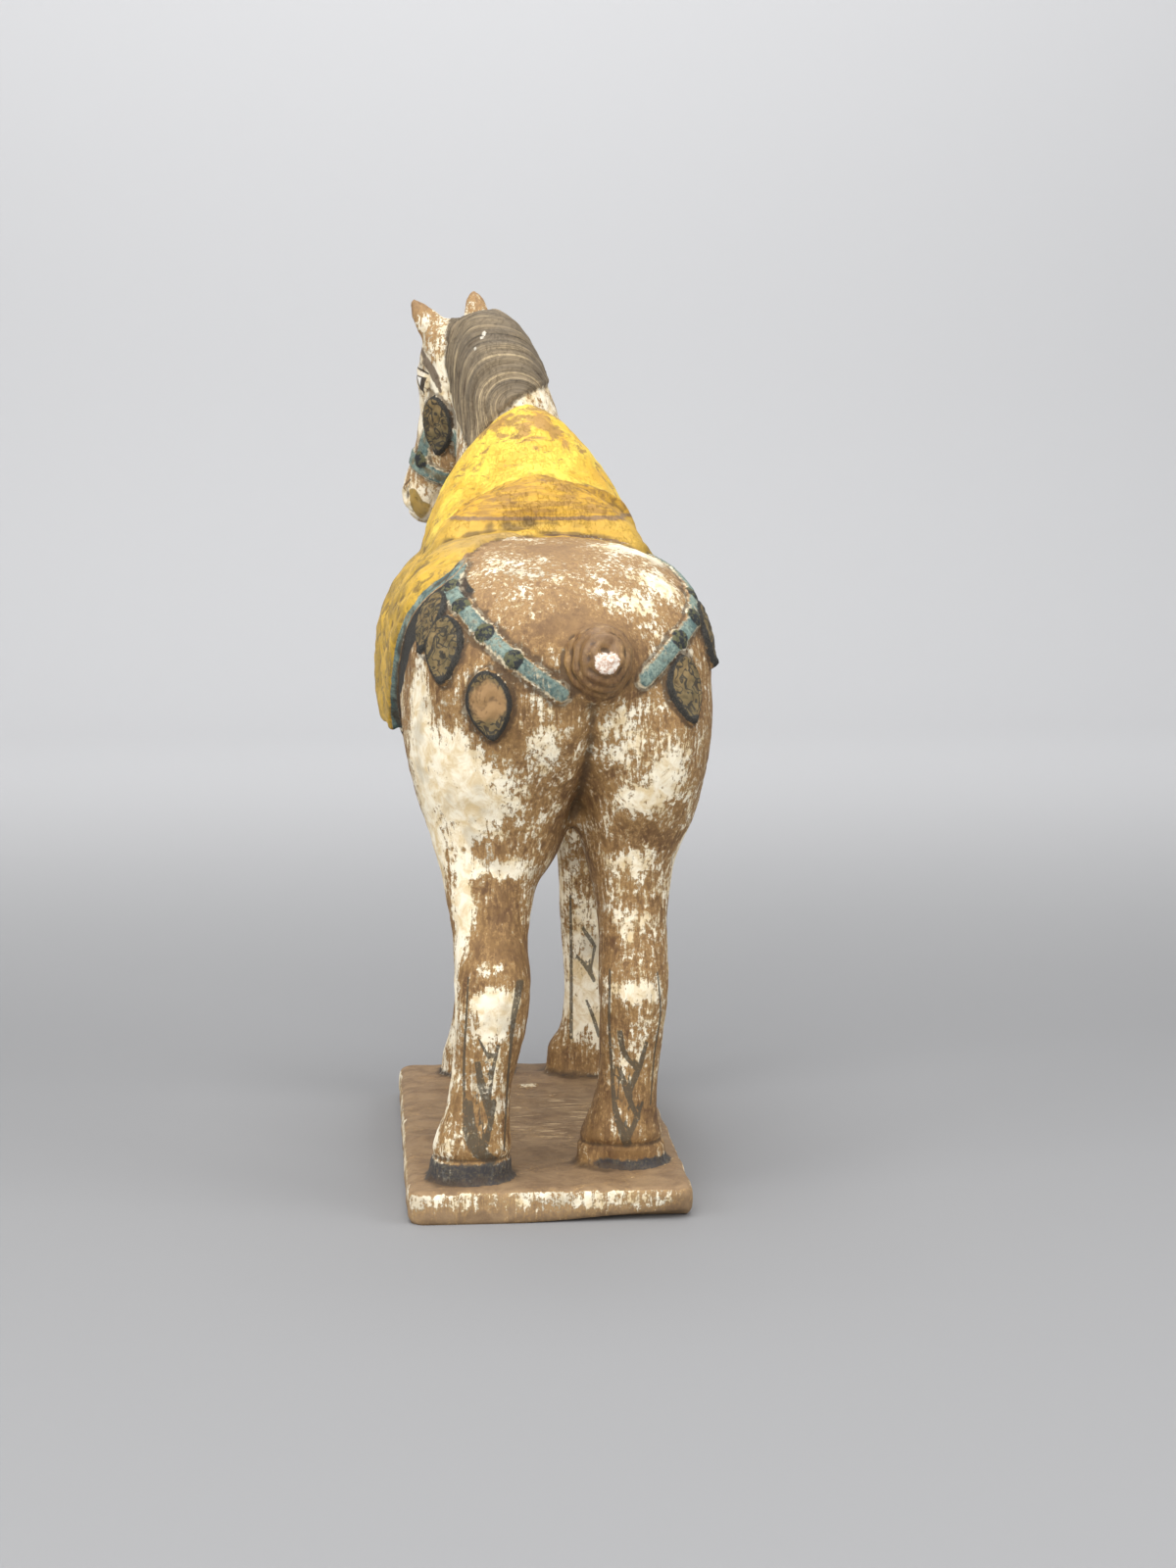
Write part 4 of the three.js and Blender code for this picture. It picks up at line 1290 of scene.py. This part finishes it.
mane_mask = paint.both(paint.step(mane_edge, -0.3, 1.4), mane_film)
colour = paint.blend(mane_mask, colour, hair_colour)

# Three chips in the mane, down to the white slip.
chips = [
    ((16.0, -77.5, 335.4), 1.2),
    ((16.9, -77.0, 333.6), 1.1),
    ((19.4, -75.0, 328.6), 1.3),
]
for chip_place, reach in chips:
    chip = paint.ragged(paint.gap(place, chip_place), place, 0.8, 3.4)
    colour = paint.blend(paint.both(paint.step(chip, reach, reach - 0.5), 0.9), colour, pigment("#e4dccb"))

# The saddle cloth: bright yellow on the seat, ochre with painted shade behind it, ochre on the flaps, brown
# where it is worn.
past_rim = paint.ragged(paint.mark("rim"), place, 0.5, 1.0)
on_saddle = paint.step(paint.mark("saddle"), 0.1, 0.5)
cloth_mask = paint.sum("MAXIMUM", paint.step(past_rim, 0.15, -0.15), on_saddle)
yellow_film = flaked(1.0, 0.4, 57.0)[1]
worn = paint.smeared(place, (0.07, 0.1, 0.16), 7, 0.7, 0.6)
wipes = paint.smeared(place, (0.05, 0.35, 0.45), 5, 0.65, 0.4)
sunny = paint.noise(place, 0.06, 5, 0.65, 0.4)
seat = paint.tone(pigment("#f0cf4c"), sunny, 0.42, 0.66, "#d9aa32")
pommel = paint.step(height, 284, 292)
rubbed = paint.sum("ADD", worn, paint.both(pommel, 0.1))
seat = paint.tone(seat, rubbed, 0.56, 0.64, "#a57c42", 0.85)
# The darker ochre behind the cantle's crest is painted shade on the cantle's hind face.
rear_cloth_in_painted_shade = paint.tone(pigment("#cfa02f"), wipes, 0.4, 0.6, "#a57c31")
rear_cloth_in_painted_shade = paint.tone(rear_cloth_in_painted_shade, worn, 0.56, 0.64, "#8d6a3d", 0.7)
from_stripe = paint.sum("SUBTRACT", paint.ragged(height, place, 0.2, 2.2), 260.6)
stripe = paint.step(paint.sum("ABSOLUTE", from_stripe), 1.0, 0.5)
rear_cloth_in_painted_shade = paint.blend(paint.both(stripe, 0.85), rear_cloth_in_painted_shade, pigment("#8b7052"))
under_stripe = paint.step(paint.ragged(height, place, 0.2, 2.0), 260, 259, 0, 0.8)
rear_cloth_in_painted_shade = paint.blend(under_stripe, rear_cloth_in_painted_shade, pigment("#d6ad45"))
at_hem = paint.step(paint.ragged(hindward, place, 0.3, 1.6), 24.6, 25.4, 0, 0.6)
rear_cloth_in_painted_shade = paint.blend(at_hem, rear_cloth_in_painted_shade, pigment("#a98f66"))
past_seat = paint.ragged(paint.mark("past_seat"), place, 0.3, 1.6)
cloth = paint.blend(paint.step(past_seat, 0.2, 1.0), seat, rear_cloth_in_painted_shade)
flap = paint.tone(pigment("#dcb03c"), sunny, 0.36, 0.6, "#b28f34")
flap = paint.tone(flap, worn, 0.52, 0.62, "#7f6632", 0.85)
flap = paint.tone(flap, wipes, 0.56, 0.66, "#e0bb48", 0.6)
cloth = paint.blend(paint.step(paint.ragged(height, place, 0.1, 12.0), 256, 246), cloth, flap)
cloth = paint.blend(paint.sum("SUBTRACT", 1.0, yellow_film), cloth, pigment("#9a7242"))
colour = paint.blend(cloth_mask, colour, cloth)

# The cloth's rim is blue green. Beyond it a black border is drawn on the flank.
below_back = paint.step(height, 248, 244)
rim_place = paint.ragged(paint.mark("rim"), place, 0.5, 1.4)
blue_film = flaked(0.5, 0.6, 83.0)[1]
blue = paint.tone(pigment("#88988b"), tint, 0.42, 0.64, "#546c69")
blue = paint.tone(blue, crumb, 0.47, 0.62, "#3f5655", 0.65)
blue_mask = paint.both(paint.step(rim_place, -0.1, 0.2), paint.step(rim_place, 4.0, 3.6), below_back)
colour = paint.blend(paint.both(blue_mask, blue_film), colour, blue)
black = paint.tone(pigment("#26241f"), grain, 0.45, 0.7, "#4b463c")
black_film = flaked(0.9, 0.6, 17.0)[1]
border_place = paint.ragged(paint.mark("border"), place, 0.2, 3.0)
past_blue = paint.step(rim_place, rim_wide, rim_wide + 0.4)
black_mask = paint.both(past_blue, paint.step(border_place, 0.6, -0.6), below_back, black_film)
colour = paint.blend(black_mask, colour, black)

# The straps: blue green between cream lines, worn to brown down the middle. The studs: black, with olive
# painted highlights.
uncovered = paint.step(paint.mark("rim"), 4.2, 5.2)
strap_place = paint.ragged(paint.mark("strap"), place, 0.5, 1.6)
rubbed = paint.both(paint.step(strap_place, 1.4, 2.6), paint.step(mottle, 0.46, 0.56), 0.8)
strap_colour = paint.blend(rubbed, blue, pigment("#74694a"))
strap_mask = paint.both(paint.step(strap_place, 0.0, 0.7), uncovered, blue_film)
lined = paint.both(paint.step(strap_place, -1.5, -1.0), uncovered, paint.step(tint, 0.46, 0.56), 0.8)
colour = paint.blend(lined, colour, pigment("#e6d8b6"))
colour = paint.blend(strap_mask, colour, strap_colour)
stud_place = paint.ragged(paint.mark("stud"), place, 0.45, 2.0)
# The olive patches on the black studs are painted highlights.
stud_painted_highlight = paint.step(paint.noise(place, 0.4, 4, 0.65), 0.47, 0.56)
stud_colour = paint.blend(stud_painted_highlight, pigment("#25282a"), pigment("#5b5a3c"))
stud_mask = paint.both(paint.step(stud_place, 0.0, 0.6), uncovered)
colour = paint.blend(stud_mask, colour, stud_colour)

# The leaves: olive brown with black scrolls, a black rim and a black bead at the tip. The third is worn
# to the clay in its middle.
leaf_place = paint.ragged(paint.mark("leaf"), place, 0.5, 1.3)
leaf_down = paint.mark("leaf_down")
leaf_feeds = {0: paint.mark("leaf_across"), 1: leaf_down, 2: paint.sum("MULTIPLY", leftward, 0.3)}
leaf_flat = paint.put("CombineXYZ", leaf_feeds).outputs[0]
scrolls = paint.noise(leaf_flat, 0.2, 1, 0.4, 1.2)
scroll_line = paint.step(paint.sum("ABSOLUTE", paint.sum("SUBTRACT", scrolls, 0.5)), 0.06, 0.035)
leaf_colour = paint.tone(pigment("#625536"), mottle, 0.35, 0.65, "#877149")
scroll_left = paint.both(scroll_line, paint.step(crumb, 0.66, 0.56), 0.85)
leaf_colour = paint.blend(scroll_left, leaf_colour, pigment("#2c2a25"))
third_leaf = paint.gap(place, tuple(leaves[2][0] + [0, 0, 2]))
bare_middle = paint.step(paint.ragged(third_leaf, place, 0.2, 6.0), 9, 5.5, 0, 0.9)
leaf_colour = paint.blend(bare_middle, leaf_colour, pigment("#a37f53"))
leaf_bead = paint.step(leaf_down, leaf_long - 3.6, leaf_long - 2.8)
leaf_rim = paint.sum("MAXIMUM", paint.step(leaf_place, 2.3, 1.5), leaf_bead)
leaf_colour = paint.blend(leaf_rim, leaf_colour, black)
leaf_mask = paint.both(paint.step(leaf_place, -0.1, 0.3), uncovered)
colour = paint.blend(leaf_mask, colour, leaf_colour)

# The shanks' brush strokes, dry at their edges, and the black of the hooves.
dry = paint.sum("SUBTRACT", paint.noise(place, 1.1, 5, 0.72), 0.5)
stroke = paint.step(paint.sum("ADD", paint.sum("ABSOLUTE", paint.mark("ink_offset")), dry), 1.08, 0.8)
stroke = paint.both(stroke, paint.step(paint.mark("ink_reach"), 2.2, 1.6), paint.step(crumb, 0.68, 0.56))
colour = paint.blend(paint.both(stroke, 0.85), colour, pigment("#4a4233"))
hoof_black = paint.tone(pigment("#2c3138"), crumb, 0.45, 0.6, "#4d4a42")
hoof_place = paint.ragged(paint.mark("hoof"), place, 0.35, 4.5)
hoof_mask = paint.both(paint.step(hoof_place, -0.2, 0.9), paint.step(crumb, 0.72, 0.6), 0.92)
colour = paint.blend(hoof_mask, colour, hoof_black)

# The face, painted on a plane that runs down the head and up: the lids, the eye, the brow, the strokes
# beside the nostril and the olive patch on the lip.
face_feeds = {0: paint.turn("DOT_PRODUCT", place, tuple(head_front))[1], 1: height}
face_flat = paint.put("CombineXYZ", face_feeds).outputs[0]
on_face = paint.step(paint.mark("face"), 0.0, 1.5)


def drawn(path, half):
    """How far a place lies inside a brush line through some places on the face's plane."""
    lines = []
    for start, end in zip(path[:-1], path[1:]):
        feeds = {"Place": face_flat, "Start": (*start, 0), "End": (*end, 0), "Half": half}
        lines.append(paint.put("Group", feeds, node_tree=brush_stroke).outputs[0])
    return paint.fold("MAXIMUM", lines)


def cornered(corners):
    """How far a place lies inside a three-cornered patch on the face's plane, by its three edges."""
    depths = []
    for k in range(3):
        start, end = np.array(corners[k], float), np.array(corners[(k + 1) % 3], float)
        across = unit(np.array([end[1] - start[1], start[0] - end[0]]))
        across = across if (np.mean(corners, 0) - start) @ across > 0 else -across
        along_across = paint.turn("DOT_PRODUCT", face_flat, (*across, 0))[1]
        depths.append(paint.sum("SUBTRACT", along_across, float(start @ across)))
    return paint.fold("MINIMUM", depths)


def painted(colour, inside, shade, strength=1.0, soft=0.25):
    """Paint laid on the face wherever a measure of being inside is above nothing."""
    return paint.blend(paint.both(paint.step(inside, -soft, soft), on_face, strength), colour, shade)


brow_parts = [
    ([(113.4, 331), (111, 329), (108, 326.4), (105.6, 323.6)], 1.5),
    ([(106.4, 324), (103.6, 320.6), (102.2, 317.2)], 2.3),
    ([(102.2, 317.2), (101.2, 314.4)], 1.7),
    ([(101.2, 314.4), (100.7, 311.6)], 0.9),
]
brow_line = paint.fold("MAXIMUM", [drawn(*part) for part in brow_parts])
colour = painted(colour, paint.ragged(brow_line, place, 0.5, 0.8), pigment("#6f5f4d"), 0.92, 0.35)
pale_lids = [
    ([(115.4, 324), (112.6, 322.2)], 1.1),
    ([(115.6, 319.9), (109.4, 318.7)], 0.9),
]
for lid in pale_lids:
    colour = painted(colour, drawn(*lid), pigment("#efe3cd"), 0.8)
colour = painted(colour, cornered([(116.9, 318.9), (107.2, 317.3), (112.2, 310.4)]), pigment("#33261e"), 0.95)
colour = painted(colour, cornered([(114.9, 318), (110.6, 317.3), (112.9, 313.9)]), pigment("#f4efe4"))
dark_lines = [
    ([(117.4, 322.3), (111, 320.7), (106.3, 319)], 0.42, "#2f241d", 0.95),
    ([(116.2, 327.6), (113, 325), (110, 322.8)], 0.35, "#6a5846", 0.8),
    ([(132.2, 270.6), (128.4, 273)], 0.4, "#4a3c30", 0.85),
    ([(130.6, 268), (129.4, 270.2)], 0.4, "#4a3c30", 0.7),
]
for path, half, code, strength in dark_lines:
    colour = painted(colour, drawn(path, half), pigment(code), strength)
olive = paint.sum("MAXIMUM", drawn([(127, 266.5), (126, 260)], 2.7), drawn([(126, 260), (124.2, 253.6)], 4.3))
olive = paint.ragged(olive, place, 0.4, 0.9)
olive_colour = paint.tone(pigment("#a07f2e"), mottle, 0.4, 0.6, "#7e6a34")
colour = painted(colour, olive, olive_colour, 0.92, 0.3)

# The tail knob's end, broken down to white and pink clay.
blot = paint.ragged(paint.gap(place, tuple(blot_middle)), place, 0.45, 5.0)
blot_colour = paint.tone(pigment("#ece2d4"), crumb, 0.45, 0.6, "#c39f88")
colour = paint.blend(paint.step(blot, 5.0, 4.4), colour, blot_colour)

# Dirt and painted shade darken the hollows.
colour = paint.tone(colour, paint.mark("hollow"), 0.12, 0.8, "#44321f", 0.75)

# The coats' thickness and the clay's grain, rough but for the handled tail knob and the painted cloth.
layers = [(slip_coat, 0.2), (grain, 0.12), (smear, 0.25), (crumb, 0.2), (hairs, mane_mask, 0.5)]
thickness = paint.fold("ADD", [paint.both(*layer) for layer in layers])
bump = paint.put("Bump", {"Height": thickness, "Strength": 0.9, "Distance": 0.001}).outputs[0]
polished = paint.step(paint.gap(place, (-18.0, 118.0, 213.0)), 17, 13)
roughness = paint.fold("SUBTRACT", [0.74, paint.both(cloth_mask, 0.2), paint.both(polished, 0.32)])
surface = paint.put("BsdfPrincipled", {"Base Color": colour, "Roughness": roughness, "Normal": bump})
finish = paint.put("OutputMaterial", {})
clay.node_tree.links.new(surface.outputs[0], finish.inputs[0])
horse.data.materials.append(clay)

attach(horse, "root")
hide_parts("terracotta_horse")


# The photographer's sweep
# A sheet of grey paper runs under the figure and curves up behind it. Its grey is painted darkest on the
# floor about the figure, as painted shadow, and lighter towards the camera, beyond the figure and up the
# wall, as painted light. Soft boxes light it from overhead, from both sides and from behind the camera.
def sweep():
    """A wide sheet whose profile is a floor, a quarter circle and a wall, carried straight across."""
    bend = np.radians(np.linspace(0, 90, 24))
    radius = 0.9
    far = -1.6
    floor = np.array([[3.2, 0], [far, 0]])
    curve = np.column_stack([far - radius * np.sin(bend), radius - radius * np.cos(bend)])
    wall = np.array([[far - radius, 4.0]])
    profile = np.concatenate([floor, curve[1:], wall])
    half_wide = 4.0
    points = np.array([[x, y, z] for y, z in profile for x in (-half_wide, half_wide)])
    k = np.arange(len(profile) - 1) * 2
    first, second = np.stack([k, k + 2, k + 1], -1), np.stack([k + 1, k + 2, k + 3], -1)
    return points * 1000, np.concatenate([first, second])


backdrop = bpy.data.objects.new("backdrop", mesh_of("backdrop", *sweep()))
bpy.context.scene.collection.objects.link(backdrop)
backdrop.data.shade_smooth()
paper = bpy.data.materials.new("grey_paper")
paper.use_nodes = True
mix = Bench(paper.node_tree)
spot = mix.put("TexCoord", {}).outputs["Object"]
leftward, hindward, height = mix.put("SeparateXYZ", {0: spot}).outputs[:3]
# The paper's grey: painted shadow on the floor about the figure, painted light towards the camera, beyond it
# and up the wall.
shade = mix.tone(pigment("#8d8d8e"), hindward, -0.3, 0.6, "#959596")
shade = mix.tone(shade, hindward, -0.2, -1.6, "#cfcfd0")
shade = mix.tone(shade, height, 0.3, 1.2, "#e8e8e9")
paper_surface = paper.node_tree.nodes["Principled BSDF"]
paper.node_tree.links.new(shade, paper_surface.inputs["Base Color"])
paper_surface.inputs["Roughness"].default_value = 0.8
backdrop.data.materials.append(paper)


def softbox(name, place, aim, size, power):
    """A square light at a place, tipped and swung about to face an aim."""
    lamp = bpy.data.lights.new(name, "AREA")
    lamp.size = size
    lamp.energy = power
    light = bpy.data.objects.new(name, lamp)
    light.location = place
    across, along, up = np.subtract(aim, place)
    light.rotation_euler = (math.atan2(math.hypot(across, along), -up), 0, math.atan2(-across, along))
    bpy.context.scene.collection.objects.link(light)


softbox("top_light", (0.1, 0.5, 1.7), (0, 0, 0.15), 1.2, 19)
softbox("left_light", (1.4, 0.9, 0.9), (0, 0, 0.2), 0.9, 10)
softbox("right_light", (-1.3, 0.7, 0.9), (0, 0, 0.2), 0.9, 9)
softbox("camera_light", (0.5, 2.1, 0.9), (0, 0, 0.15), 1.4, 24)
softbox("back_light", (0, -0.9, 1.9), (0, -1.8, 0.3), 1.2, 12)
world = bpy.data.worlds.new("room")
bpy.context.scene.world = world
world.use_nodes = True
world.node_tree.nodes["Background"].inputs["Color"].default_value = (0.97, 0.98, 1, 1)
world.node_tree.nodes["Background"].inputs["Strength"].default_value = 0.5
